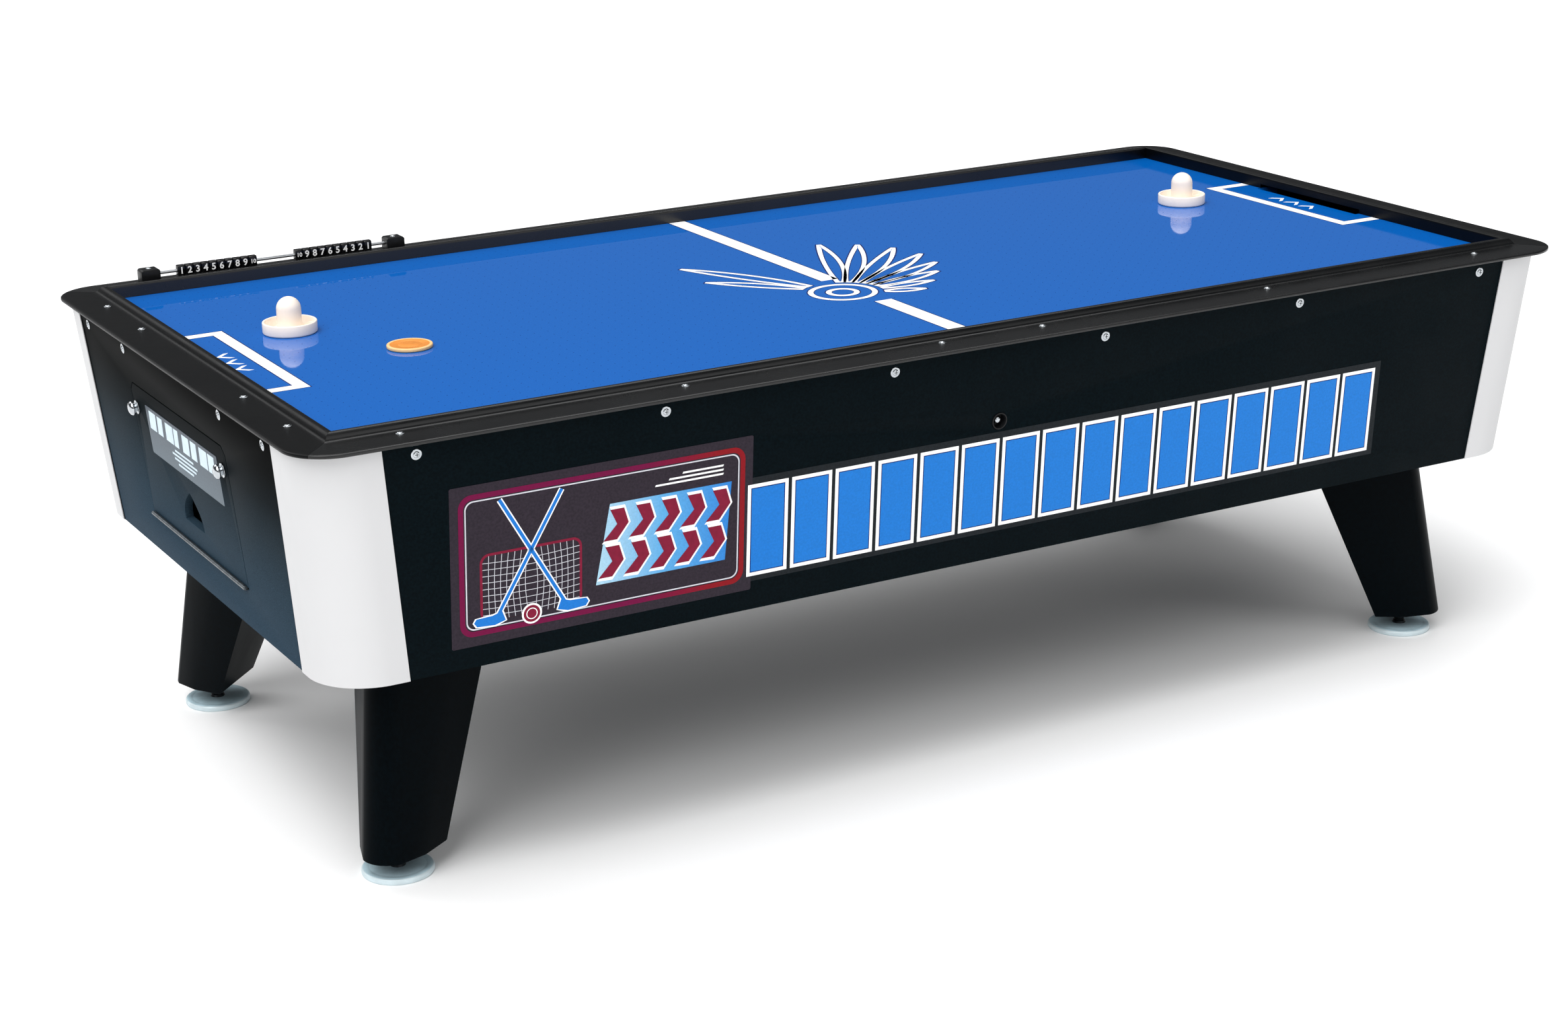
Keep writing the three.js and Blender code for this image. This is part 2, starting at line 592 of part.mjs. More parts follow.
// ---------------------------------------------------------------- mallets and puck
function mallet() {
  const { radius: r, rim, wall, base, knobR, height } = MALLET;
  const dome = arc(0, height - knobR, knobR, 90, 0, 7);
  const profile = [...dome, [knobR + 0.5, base + 6], [knobR + 4, base + 1], [knobR + 7, base], [r - wall - 1, base],
    [r - wall, base + 1], [r - wall + 0.5, rim - 0.8], [r - wall + 1.2, rim], [r - 1, rim], [r, rim - 1], [r, 2.5],
    [r - 2, GAP], [0, GAP]];
  const web = box([knobR - 2, -1.5, 2], [r - wall + 1, 1.5, base + 9]);
  return join(turned(profile, 40), web);
}

function puck() {
  const { radius: r, thick: t } = PUCK;
  const profile = [[0, GAP], [r - 1.5, GAP], [r, 1.6], [r, t - 1.2], [r - 1.3, t], [r - 5, t], [r - 7, t - 0.5],
    [0, t - 0.5]];
  return turned(profile, 40);
}

// ---------------------------------------------------------------- assembly
add('playfield', playfield(), PAINT.field);
add('air_chamber', airChamber(), PAINT.wood);
add('chamber_spine', chamberSpine(), PAINT.wood);

add('rail_near', mitredRail(FIELD.halfX, FIELD.halfY), PAINT.rail);
add('rail_far', mitredRail(FIELD.halfX, FIELD.halfY).rotateZ(Math.PI), PAINT.rail);
add('rail_left', endRail().rotateZ(-Math.PI / 2), PAINT.rail);
add('rail_right', endRail().rotateZ(Math.PI / 2), PAINT.rail);

const buttonHole = onNearPanel(rod(BUTTON.holeR, -15, 45, 28).rotateX(-Math.PI / 2), BUTTON.x, BUTTON.z);
add('side_panel_near', cut(sidePanel(), buttonHole), PAINT.cabinet);
add('side_panel_far', sidePanel().rotateZ(Math.PI), PAINT.cabinet);
add('button_bezel', buttonBezel(), PAINT.black);
add('start_button', startButton(), PAINT.chrome);

for (const { name, signX, signY } of CORNERS) {
  add(`corner_post_${name}`, mirrored(cornerPost(), signX, signY), PAINT.wood);
  add(`corner_guard_${name}`, mirrored(cornerGuard(), signX, signY), PAINT.guard);
  add(`leg_${name}`, mirrored(leg(), signX, signY), PAINT.leg);
  const foot = add(`foot_${name}`, levellingFoot(), PAINT.foot);
  foot.position.set(signX * FOOT.x, signY * FOOT.y, 0);
}

// Both ends are the same assembly; the right one is turned half round.
const ENDS = [
  { end: 'left', turn: 0, lockNames: { '-1': 'near', 1: 'far' } },
  { end: 'right', turn: Math.PI, lockNames: { '-1': 'far', 1: 'near' } },
];
for (const { end, turn, lockNames } of ENDS) {
  const group = new THREE.Group();
  group.rotation.z = turn;
  table.add(group);
  add(`end_panel_${end}`, endPanel(), PAINT.endBoard, group);
  add(`goal_chute_${end}`, goalChute(), PAINT.wood, group);
  add(`door_${end}`, doorPanel(), PAINT.endBoard, group);
  add(`hinge_fixed_leaf_${end}`, hingeLeaf(true), PAINT.steel, group);
  add(`hinge_door_leaf_${end}`, hingeLeaf(false), PAINT.steel, group);
  for (const sign of [-1, 1]) {
    add(`door_lock_${end}_${lockNames[sign]}`, doorLock(sign), PAINT.chrome, group);
  }
}

add('bottom_panel', bottomPanel(), PAINT.cabinet);
add('intake_grille', intakeGrille(), PAINT.black);
add('power_inlet', powerInlet(), PAINT.black);
add('blower_housing', blowerHousing(), PAINT.steel);
add('blower_motor', blowerMotor(), PAINT.black);
add('blower_impeller', impeller(), PAINT.steel);

add('scorer_block_left', scorerBlock(SCORER.blockLeft), PAINT.black);
add('scorer_block_right', scorerBlock(SCORER.blockRight), PAINT.black);
add('scorer_rod', scorerRod(), PAINT.steel);
for (const [side, start] of [['left', SCORER.leftStart], ['right', SCORER.rightStart]]) {
  const last = BEADS_PER_GROUP - 1;
  add(`score_bead_${side}_outer`, beadRow(side === 'left' ? start : start + last * SCORER.pitch, 1), PAINT.bead);
  add(`score_beads_${side}_stack`, beadRow(start + SCORER.pitch, BEADS_PER_GROUP - 2), PAINT.bead);
  add(`score_bead_${side}_inner`, beadRow(side === 'left' ? start + last * SCORER.pitch : start, 1), PAINT.bead);
}

for (const [side, [x, y]] of Object.entries(MALLETS)) {
  const mesh = add(`mallet_${side}`, mallet(), PAINT.ivory);
  mesh.position.set(x, y, FIELD.top);
}
const puckMesh = add('puck', puck(), PAINT.puck);
puckMesh.position.set(PUCK.x, PUCK.y, FIELD.top);

export default table;
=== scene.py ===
"""Looks of the air hockey table: finishes, printed graphics, screws, smooth rails and turned parts."""

import json
import math

import bmesh
import bpy
from mathutils import Matrix, Vector

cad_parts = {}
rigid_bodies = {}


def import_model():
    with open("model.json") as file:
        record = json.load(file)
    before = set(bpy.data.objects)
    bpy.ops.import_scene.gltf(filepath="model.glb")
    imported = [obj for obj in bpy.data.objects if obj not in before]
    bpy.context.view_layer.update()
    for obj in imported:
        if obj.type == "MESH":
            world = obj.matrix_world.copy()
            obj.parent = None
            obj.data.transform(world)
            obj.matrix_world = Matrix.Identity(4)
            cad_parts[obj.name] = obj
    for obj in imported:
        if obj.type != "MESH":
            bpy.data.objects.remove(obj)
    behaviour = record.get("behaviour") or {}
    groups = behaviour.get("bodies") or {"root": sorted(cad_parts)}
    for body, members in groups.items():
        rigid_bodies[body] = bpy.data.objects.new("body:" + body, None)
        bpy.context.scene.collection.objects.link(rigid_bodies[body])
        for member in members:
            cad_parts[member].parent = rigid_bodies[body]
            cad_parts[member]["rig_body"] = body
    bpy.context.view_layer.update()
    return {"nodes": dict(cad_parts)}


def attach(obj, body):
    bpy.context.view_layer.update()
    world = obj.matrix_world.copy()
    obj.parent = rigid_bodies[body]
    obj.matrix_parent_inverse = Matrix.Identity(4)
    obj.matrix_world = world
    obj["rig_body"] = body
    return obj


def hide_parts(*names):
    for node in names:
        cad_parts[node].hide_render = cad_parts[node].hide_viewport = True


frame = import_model()
nodes = frame["nodes"]

MM = 0.001
FIELD_X, FIELD_Y, FIELD_TOP = 1141.5, 543.7, 752.5
FOOT_X, FOOT_Y = 1041.7, 433.9
MALLETS = {"left": (-953, 140), "right": (920, 125)}
PUCK_X, PUCK_Y = -822, -70
WHITE_PRINT = (-0.05, 0.10)
NAVY_PRINT = (-0.05, 0.06)
CAB_TOP, CAB_BOTTOM = 752.4, 373.5
CAB_TOP_X, CAB_TOP_Y = 1215.0, 606.5
CAB_LOW_X, CAB_LOW_Y = 1179.5, 573.2
CORNERS = {"near_left": (-1, -1), "near_right": (1, -1), "far_left": (-1, 1), "far_right": (1, 1)}


def outer_x(z):
    return CAB_LOW_X + (CAB_TOP_X - CAB_LOW_X) * (z - CAB_BOTTOM) / (CAB_TOP - CAB_BOTTOM)


def outer_y(z):
    return CAB_LOW_Y + (CAB_TOP_Y - CAB_LOW_Y) * (z - CAB_BOTTOM) / (CAB_TOP - CAB_BOTTOM)


END_TILT = math.atan((CAB_TOP_X - CAB_LOW_X) / (CAB_TOP - CAB_BOTTOM))
SIDE_TILT = math.atan((CAB_TOP_Y - CAB_LOW_Y) / (CAB_TOP - CAB_BOTTOM))


# ---------------------------------------------------------------- finishes
def srgb(r, g, b):
    def linear(value):
        value /= 255
        return value / 12.92 if value <= 0.04045 else ((value + 0.055) / 1.055) ** 2.4
    return (linear(r), linear(g), linear(b), 1.0)


def shade(color, factor):
    return tuple(min(1.0, channel * factor) for channel in color[:3]) + (1.0,)


class Finish:
    """A procedural material built up one layer at a time around a Principled shader."""

    def __init__(self, name, color, rough, metal=0.0, coat=0.0, specular=0.5):
        self.material = bpy.data.materials.new(name)
        self.material.use_nodes = True
        self.tree = self.material.node_tree
        self.shader = self.tree.nodes["Principled BSDF"]
        self.color = color
        self.shader.inputs["Base Color"].default_value = color
        self.shader.inputs["Roughness"].default_value = rough
        self.shader.inputs["Metallic"].default_value = metal
        self.shader.inputs["Coat Weight"].default_value = coat
        self.shader.inputs["Coat Roughness"].default_value = 0.08
        self.shader.inputs["Specular IOR Level"].default_value = specular
        self.coords = self.tree.nodes.new("ShaderNodeTexCoord")
        self.normal = None

    def link(self, a, b):
        self.tree.links.new(a, b)

    def mapped(self, scale):
        node = self.tree.nodes.new("ShaderNodeMapping")
        node.inputs["Scale"].default_value = scale
        self.link(self.coords.outputs["Object"], node.inputs["Vector"])
        return node.outputs["Vector"]

    def noise(self, scale, detail=3.0, stretch=(1, 1, 1)):
        node = self.tree.nodes.new("ShaderNodeTexNoise")
        node.inputs["Scale"].default_value = scale
        node.inputs["Detail"].default_value = detail
        self.link(self.mapped(stretch), node.inputs["Vector"])
        return node.outputs["Fac"]

    def ramp(self, source, stops):
        node = self.tree.nodes.new("ShaderNodeValToRGB")
        ramp = node.color_ramp
        while len(ramp.elements) < len(stops):
            ramp.elements.new(0.5)
        for element, (position, color) in zip(ramp.elements, stops):
            element.position = position
            element.color = color if len(color) == 4 else color + (1.0,)
        self.link(source, node.inputs["Fac"])
        return node.outputs["Color"]

    def tint(self, scale, dark, light, detail=3.0, stretch=(1, 1, 1), low=0.35, high=0.65):
        source = self.noise(scale, detail, stretch)
        color = self.ramp(source, [(low, shade(self.color, dark)), (high, shade(self.color, light))])
        self.link(color, self.shader.inputs["Base Color"])
        return self

    def gloss(self, scale, low, high, stretch=(1, 1, 1), detail=3.0):
        source = self.noise(scale, detail, stretch)
        value = self.ramp(source, [(0.3, (low, low, low, 1)), (0.7, (high, high, high, 1))])
        self.link(value, self.shader.inputs["Roughness"])
        return self

    def bump(self, scale, strength, distance, stretch=(1, 1, 1), detail=3.0):
        node = self.tree.nodes.new("ShaderNodeBump")
        node.inputs["Strength"].default_value = strength
        node.inputs["Distance"].default_value = distance
        self.link(self.noise(scale, detail, stretch), node.inputs["Height"])
        if self.normal is not None:
            self.link(self.normal, node.inputs["Normal"])
        self.normal = node.outputs["Normal"]
        self.link(self.normal, self.shader.inputs["Normal"])
        return self

    def fade(self, axis, start, end, stops, grain=0.9, scale=300):
        """Colour that runs through stops along one axis of the part, in metres, with a fine grain on it."""
        split = self.tree.nodes.new("ShaderNodeSeparateXYZ")
        self.link(self.coords.outputs["Object"], split.inputs["Vector"])
        span = self.tree.nodes.new("ShaderNodeMapRange")
        span.inputs["From Min"].default_value = start
        span.inputs["From Max"].default_value = end
        self.link(split.outputs[axis], span.inputs["Value"])
        speckle = self.ramp(self.noise(scale, 4.0),
                            [(0.36, (grain, grain, grain)), (0.64, (1.0, 1.0, 1.0))])
        blend = self.tree.nodes.new("ShaderNodeMix")
        blend.data_type = "RGBA"
        blend.blend_type = "MULTIPLY"
        blend.inputs["Factor"].default_value = 1.0
        self.link(self.ramp(span.outputs["Result"], stops), blend.inputs[6])
        self.link(speckle, blend.inputs[7])
        self.link(blend.outputs[2], self.shader.inputs["Base Color"])
        return self


def make_finishes():
    # The end boards are the same black laminate as the long sides. Their blue-grey lower part is painted
    # floor-bounce light, and the run to near black under the rails is painted shade.
    painted_light_run = [(0.0, srgb(49, 69, 85)), (0.30, srgb(44, 62, 75)), (0.52, srgb(38, 50, 58)),
                 (0.70, srgb(20, 27, 31)),
                 (0.84, srgb(8, 11, 12)), (0.95, srgb(3, 4, 4))]
    make = {
        "field": Finish("field_laminate", srgb(3, 96, 184), 0.05, specular=0.38)
        .tint(420, 0.95, 1.05, 2.0).gloss(6, 0.03, 0.06).bump(900, 0.01, 0.0001),
        "print_white": Finish("print_white", srgb(253, 253, 253), 0.25, specular=0.2).tint(60, 0.97, 1.0),
        "print_navy": Finish("print_navy", srgb(8, 36, 104), 0.2, specular=0.2).tint(60, 0.9, 1.05),
        # Dark blue for the dots that stand in for the air holes: painted shade inside holes that are not
        # cut.
        "air_hole": Finish("air_hole", srgb(4, 30, 84), 0.7, specular=0.1).tint(400, 0.8, 1.1),
        "rail": Finish("rail_powder_coat", srgb(3, 4, 5), 0.24, specular=0.5)
        .tint(30, 0.85, 1.2).gloss(14, 0.22, 0.30).bump(1400, 0.05, 0.0002),
        # End rails: the same black coat as the long rails, in a duller copy so they read darker; painted
        # shade.
        "rail_end": Finish("rail_coat_dull_copy", srgb(3, 4, 5), 0.36, specular=0.14)
        .tint(30, 0.85, 1.2).gloss(14, 0.32, 0.42).bump(1400, 0.05, 0.0002),
        "side_board": Finish("side_laminate", srgb(4, 13, 17), 0.6, specular=0.03)
        .tint(240, 0.75, 1.3, 4.0).gloss(9, 0.55, 0.65).bump(700, 0.12, 0.0003),
        # End boards and doors: painted light low down and painted shade darkening towards the top,
        # multiplied by a fine speckle.
        "end_board": Finish("end_laminate_painted_light", srgb(44, 55, 64), 0.65, specular=0.02)
        .fade(2, 0.3735, 0.7524, painted_light_run, 0.62, 560).bump(900, 0.18, 0.0003),
        "guard": Finish("corner_guard_metal", srgb(207, 207, 208), 0.5, specular=0.2)
        .tint(3, 0.98, 1.0).gloss(60, 0.45, 0.55, (1, 1, 0.05)).bump(800, 0.03, 0.0001, (1, 1, 0.02)),
        "leg": Finish("leg_laminate", srgb(1, 5, 8), 0.5, specular=0.03)
        .tint(160, 0.75, 1.3, 3.0).gloss(8, 0.36, 0.46, (1, 1, 0.3)).bump(500, 0.08, 0.0003),
        "foot": Finish("foot_zinc", srgb(186, 212, 222), 0.45, metal=0.1, specular=0.3)
        .tint(40, 0.9, 1.08).gloss(25, 0.4, 0.55).bump(300, 0.08, 0.0002),
        # The rim is the same zinc as the foot top; its lighter colour is a painted highlight on the edge.
        "foot_rim": Finish("foot_zinc_rim_highlight", srgb(206, 221, 226), 0.35, metal=0.1, specular=0.4).tint(60,
                                                                                                     0.94,
                                                                                                     1.03),
        # Dark colour for the foot stem and its thread.
        "thread": Finish("dark_thread", srgb(26, 32, 36), 0.4, metal=0.6).tint(90, 0.8, 1.2),
        "inner_wood": Finish("plywood", srgb(176, 140, 98), 0.75, specular=0.2)
        .tint(22, 0.72, 1.12, 6.0, (1, 8, 8)).bump(90, 0.25, 0.0006, (1, 10, 10)),
        "steel": Finish("plain_steel", srgb(190, 193, 196), 0.32, metal=1.0)
        .tint(30, 0.85, 1.05).gloss(200, 0.24, 0.42, (0.05, 1, 1)),
        "hinge_steel": Finish("hinge_steel", srgb(96, 102, 106), 0.4, metal=0.8)
        .tint(120, 0.7, 1.2).gloss(200, 0.3, 0.5),
        "chute_paint": Finish("chute_paint", srgb(6, 7, 8), 0.7, specular=0.05).tint(60, 0.8,
                                                                                     1.3).bump(200, 0.2,
                                                                                               0.0004),
        "chrome": Finish("bright_chrome", srgb(188, 193, 197), 0.16, metal=1.0)
        .tint(40, 0.93, 1.0).gloss(60, 0.08, 0.18),
        "black_plastic": Finish("black_plastic", srgb(14, 15, 17), 0.4, specular=0.2)
        .tint(120, 0.8, 1.3).bump(900, 0.12, 0.0002),
        "bead": Finish("bead_plastic", srgb(7, 7, 9), 0.14, specular=0.3)
        .tint(90, 0.8, 1.3).gloss(60, 0.1, 0.18),
        "mallet": Finish("ivory_plastic", srgb(253, 240, 226), 0.35, specular=0.3)
        .tint(35, 0.96, 1.01).gloss(50, 0.3, 0.4).bump(500, 0.03, 0.0002),
        "puck": Finish("puck_orange", srgb(222, 140, 62), 0.4, specular=0.2)
        .tint(60, 0.92, 1.05).gloss(70, 0.36, 0.46).bump(600, 0.05, 0.0002),
        "puck_rim": Finish("puck_rim", srgb(244, 200, 140), 0.4, specular=0.25).tint(60, 0.95, 1.03),
        "label": Finish("label_film", srgb(44, 37, 46), 0.42, specular=0.1)
        .tint(260, 0.84, 1.18, 4.0).bump(500, 0.05, 0.0002),
        "strip": Finish("backing_strip", srgb(24, 29, 33), 0.42, specular=0.1)
        .tint(260, 0.8, 1.2, 4.0).bump(500, 0.05, 0.0002),
        "border": Finish("label_border", srgb(112, 10, 58), 0.42, specular=0.1)
        .fade(0, -0.66, -0.53, [(0.0, srgb(112, 8, 62)), (1.0, srgb(138, 18, 28))]),
        "pale_line": Finish("pale_line", srgb(208, 208, 216), 0.4, specular=0.15).tint(60, 0.94, 1.04),
        "panel_blue": Finish("panel_blue", srgb(22, 116, 202), 0.36, specular=0.15)
        .tint(300, 0.94, 1.06, 3.0).gloss(20, 0.3, 0.4),
        "panel_fade": Finish("panel_fade", srgb(80, 160, 215), 0.36, specular=0.15)
        .fade(0, -0.75, -0.50, [(0.0, srgb(176, 214, 232)), (0.5, srgb(92, 168, 222)),
                                (1.0, srgb(40, 126, 208))]),
        "burgundy": Finish("burgundy_ink", srgb(124, 14, 48), 0.36, specular=0.15).tint(120, 0.9, 1.08),
        "door_label": Finish("door_label", srgb(82, 92, 102), 0.42, specular=0.1)
        .fade(2, 0.57, 0.66, [(0.0, srgb(92, 106, 116)), (1.0, srgb(74, 82, 92))]),
        "door_ink": Finish("door_ink", srgb(205, 222, 232), 0.4, specular=0.1).tint(60, 0.94, 1.03),
        # Near-black finish for painted shade: the strips beside the corner guards and the dark crosses on
        # the screw heads.
        "dark": Finish("painted_shade_dark", srgb(3, 4, 5), 0.6, specular=0.05).tint(90, 0.8, 1.2),
    }
    return {name: finish.material for name, finish in make.items()}


FINISH = make_finishes()


# ---------------------------------------------------------------- mesh building, all in millimetres
class Build:
    """Collects closed shells and turns them into one object."""

    def __init__(self):
        self.points = []
        self.faces = []

    def add(self, shell, place=None):
        points, faces = shell
        base = len(self.points)
        self.points += [tuple(place(*p)) if place else tuple(p) for p in points]
        self.faces += [tuple(base + i for i in face) for face in faces]
        return self

    def finish(self, name, finish, body="cabinet", slot=None, smooth=None, replaces=()):
        mesh = bpy.data.meshes.new(name)
        mesh.from_pydata([tuple(c * MM for c in p) for p in self.points], [], self.faces)
        return show(name, mesh, finish, body, smooth, replaces)


def show(name, mesh, finish, body, smooth=None, replaces=()):
    build = bmesh.new()
    build.from_mesh(mesh)
    bmesh.ops.recalc_face_normals(build, faces=build.faces)
    build.to_mesh(mesh)
    build.free()
    mesh.materials.clear()
    mesh.materials.append(FINISH[finish])
    mesh.polygons.foreach_set("use_smooth", [smooth is not None] * len(mesh.polygons))
    if smooth is not None:
        mesh.set_sharp_from_angle(angle=math.radians(smooth))
    obj = bpy.data.objects.new(name, mesh)
    bpy.context.scene.collection.objects.link(obj)
    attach(obj, body)
    if replaces:
        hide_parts(*replaces)
    return obj


def prism(outline, low, high):
    """Closed plate with this flat outline."""
    count = len(outline)
    points = [(a, b, low) for a, b in outline] + [(a, b, high) for a, b in outline]
    sides = [(i, (i + 1) % count, count + (i + 1) % count, count + i) for i in range(count)]
    return points, [tuple(reversed(range(count))), tuple(range(count, 2 * count))] + sides


def frame_plate(outer, inner, low, high):
    """Closed flat ring between two outlines with the same number of points."""
    count = len(outer)
    points = [(a, b, z) for ring, z in ((outer, low), (inner, low), (outer, high), (inner, high))
              for a, b in ring]
    faces = []
    for i in range(count):
        j = (i + 1) % count
        faces += [(j, i, count + i, count + j),
                  (2 * count + i, 2 * count + j, 3 * count + j, 3 * count + i),
                  (i, j, 2 * count + j, 2 * count + i),
                  (count + j, count + i, 3 * count + i, 3 * count + j)]
    return points, faces


def lathe(profile, sides=64):
    """Solid of revolution about the third axis; the profile runs from axis to axis."""
    points, rows = [], []
    for r, z in profile:
        if r < 1e-6:
            rows.append([len(points)])
            points.append((0.0, 0.0, z))
        else:
            rows.append(list(range(len(points), len(points) + sides)))
            points += [(r * math.cos(2 * math.pi * k / sides), r * math.sin(2 * math.pi * k / sides), z)
                       for k in range(sides)]
    faces = []
    for a, b in zip(rows, rows[1:]):
        for k in range(sides):
            j = (k + 1) % sides
            if len(a) == 1 and len(b) == 1:
                continue
            if len(a) == 1:
                faces.append((a[0], b[k], b[j]))
            elif len(b) == 1:
                faces.append((a[k], a[j], b[0]))
            else:
                faces.append((a[k], a[j], b[j], b[k]))
    return points, faces


def loft(rings):
    """Closed solid through equal rings of points."""
    count = len(rings[0])
    points = [p for ring in rings for p in ring]
    faces = [tuple(range(count)), tuple((len(rings) - 1) * count + i for i in reversed(range(count)))]
    for r in range(len(rings) - 1):
        for i in range(count):
            j = (i + 1) % count
            faces.append((r * count + i, (r + 1) * count + i, (r + 1) * count + j, r * count + j))
    return points, faces


def arc(cx, cy, radius, start, end, steps):
    angles = [math.radians(start + (end - start) * i / steps) for i in range(steps + 1)]
    return [(cx + radius * math.cos(a), cy + radius * math.sin(a)) for a in angles]


def rectangle(x0, y0, x1, y1, radius=0.0, steps=8):
    if radius <= 0:
        return [(x0, y0), (x1, y0), (x1, y1), (x0, y1)]
    r = radius
    return (arc(x1 - r, y0 + r, r, -90, 0, steps) + arc(x1 - r, y1 - r, r, 0, 90, steps)
            + arc(x0 + r, y1 - r, r, 90, 180, steps) + arc(x0 + r, y0 + r, r, 180, 270, steps))


def circle(cx, cy, radius, sides=48):
    return arc(cx, cy, radius, 0, 360 * (sides - 1) / sides, sides - 1)


def stroke(points, widths):
    """Outline of a line through points whose width at each point is given."""
    left, right = [], []
    for i, (x, y) in enumerate(points):
        ax, ay = points[max(0, i - 1)]
        bx, by = points[min(len(points) - 1, i + 1)]
        length = math.hypot(bx - ax, by - ay)
        nx, ny = -(by - ay) / length, (bx - ax) / length
        half = widths[i] / 2
        left.append((x + nx * half, y + ny * half))
        right.append((x - nx * half, y - ny * half))
    return right + left[::-1]


# places on the cabinet: h runs left to right and v is the height, as seen from outside
def near_side(h, v, off):
    return (h, -outer_y(v) - off * math.cos(SIDE_TILT), v - off * math.sin(SIDE_TILT))


def far_side(h, v, off):
    x, y, z = near_side(h, v, off)
    return (-x, -y, z)


def left_end(h, v, off):
    return (-outer_x(v) - off * math.cos(END_TILT), -h, v - off * math.sin(END_TILT))


def right_end(h, v, off):
    x, y, z = left_end(h, v, off)
    return (-x, -y, z)


def on_field(h, v, off):
    return (h, v, FIELD_TOP + off)


SIDES = {"near": near_side, "far": far_side}
ENDS = {"left": left_end, "right": right_end}


# ---------------------------------------------------------------- carried-over parts, with softened edges
def refine(node, finish, width=0.6, smooth=32):
    """A copy of a CAD node with tiny rounded edges, which stands for it."""
    source = nodes[node]
    mesh = source.data.copy()
    build = bmesh.new()
    build.from_mesh(mesh)
    bmesh.ops.remove_doubles(build, verts=build.verts, dist=0.00002)
    bmesh.ops.dissolve_limit(build, angle_limit=math.radians(0.5), verts=build.verts, edges=build.edges)
    build.to_mesh(mesh)
    build.free()
    work = bpy.data.objects.new("work", mesh)
    bpy.context.scene.collection.objects.link(work)
    if width:
        bevel = work.modifiers.new("bevel", "BEVEL")
        bevel.width = width * MM
        bevel.segments = 2
        bevel.limit_method = "ANGLE"
        bevel.angle_limit = math.radians(40)
    graph = bpy.context.evaluated_depsgraph_get()
    graph.update()
    result = bpy.data.meshes.new_from_object(work.evaluated_get(graph))
    bpy.data.objects.remove(work)
    return show(node + "_shown", result, finish, source["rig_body"], smooth, (node,))


# ---------------------------------------------------------------- rails
def softened(points, reach):
    """Cuts each inner corner of a chain of points, at most reach from it."""
    out = [points[0]]
    for a, b, c in zip(points, points[1:], points[2:]):
        for other in (a, c):
            length = math.dist(b[:2], other[:2])
            f = min(reach, 0.3 * length) / max(length, 1e-9)
            out.append(tuple(p + (q - p) * f for p, q in zip(b, other)))
    return out + [points[-1]]


def rail_section():
    bottom, bead, deck, nose, underside, base = 752.8, 776.6, 764.6, 84.0, 757.5, 66.0
    upper = [(0, bottom, 0), (0, bead - 3, 0), (0.9, bead - 0.9, 0), (3, bead, 0), (8, bead, 0),
             (12, bead - 2, 0),
             (15, bead - 6, 0), (17, bead - 9.5, 0), (20, bead - 11.2, 0), (26, deck + 0.3, 0),
             (62, deck - 0.2, 50),
             (78, deck - 0.6, 70), (nose - 1, deck - 1.4, 76), (nose, deck - 2.6, 77),
             (nose, underside + 1, 77),
             (nose - 1.5, underside, 75.5)]
    upper = softened(softened(upper, 2.0), 0.7)
    return upper + [(base, underside, 58), (base, bottom, 58)]


def mitred_rail(half_length, half_width, steps=18):
    section = rail_section()

    def point(t, z, radius, fraction):
        square = half_length + t
        end = square - radius * (1 - math.sqrt(0.5)) - 0.15
        start = square - radius if radius > 0 else end - 60
        x = start + (end - start) * fraction
        along = max(0.0, x - (square - radius))
        drop = radius - math.sqrt(max(0.0, radius * radius - along * along)) if radius > 0 else 0.0
        return x, -(half_width + t) + drop, z

    def ring(fraction, sign):
        row = [point(t, z, radius, fraction) for t, z, radius in section]
        return [(sign * x, y, z) for x, y, z in row]

    fractions = [i / steps for i in range(steps + 1)]
    return loft([ring(f, -1) for f in reversed(fractions)] + [ring(f, 1) for f in fractions])


def turned_about(shell, quarter_turns):
    c, s = [(1, 0), (0, 1), (-1, 0), (0, -1)][quarter_turns % 4]
    points, faces = shell
    return [(c * x - s * y, s * x + c * y, z) for x, y, z in points], faces


def make_rails():
    long_rail = mitred_rail(FIELD_X, FIELD_Y)
    Build().add(long_rail).finish("rail_near_moulding", "rail", slot="rail", smooth=35,
                                  replaces=("rail_near",))
    Build().add(turned_about(long_rail, 2)).finish(
        "rail_far_moulding", "rail", slot="rail", smooth=35, replaces=("rail_far",))
    end_rail = mitred_rail(FIELD_Y, FIELD_X)
    for name, turns in (("left", 3), ("right", 1)):
        points, faces = turned_about(end_rail, turns)
        mesh = bpy.data.meshes.new("work")
        mesh.from_pydata([tuple(c * MM for c in p) for p in points], [], faces)
        sign = -1 if name == "left" else 1
        xs = sorted((sign * 1136.5, sign * 1185.5))
        slot_box = [(x, y, z) for z in (747.8, 760.8) for x, y in rectangle(xs[0], -152, xs[1], 152)]
        cutter = bpy.data.meshes.new("cutter")
        cutter.from_pydata([tuple(c * MM for c in p) for p in slot_box], [], prism([(0, 0)] * 4, 0, 1)[1])
        cut_mesh = subtract(mesh, cutter)
        # The end rails take the duller copy of the rail coat, which stands for shade.
        show(f"rail_{name}_moulding", cut_mesh, "rail_end", "cabinet", 35, (f"rail_{name}",))


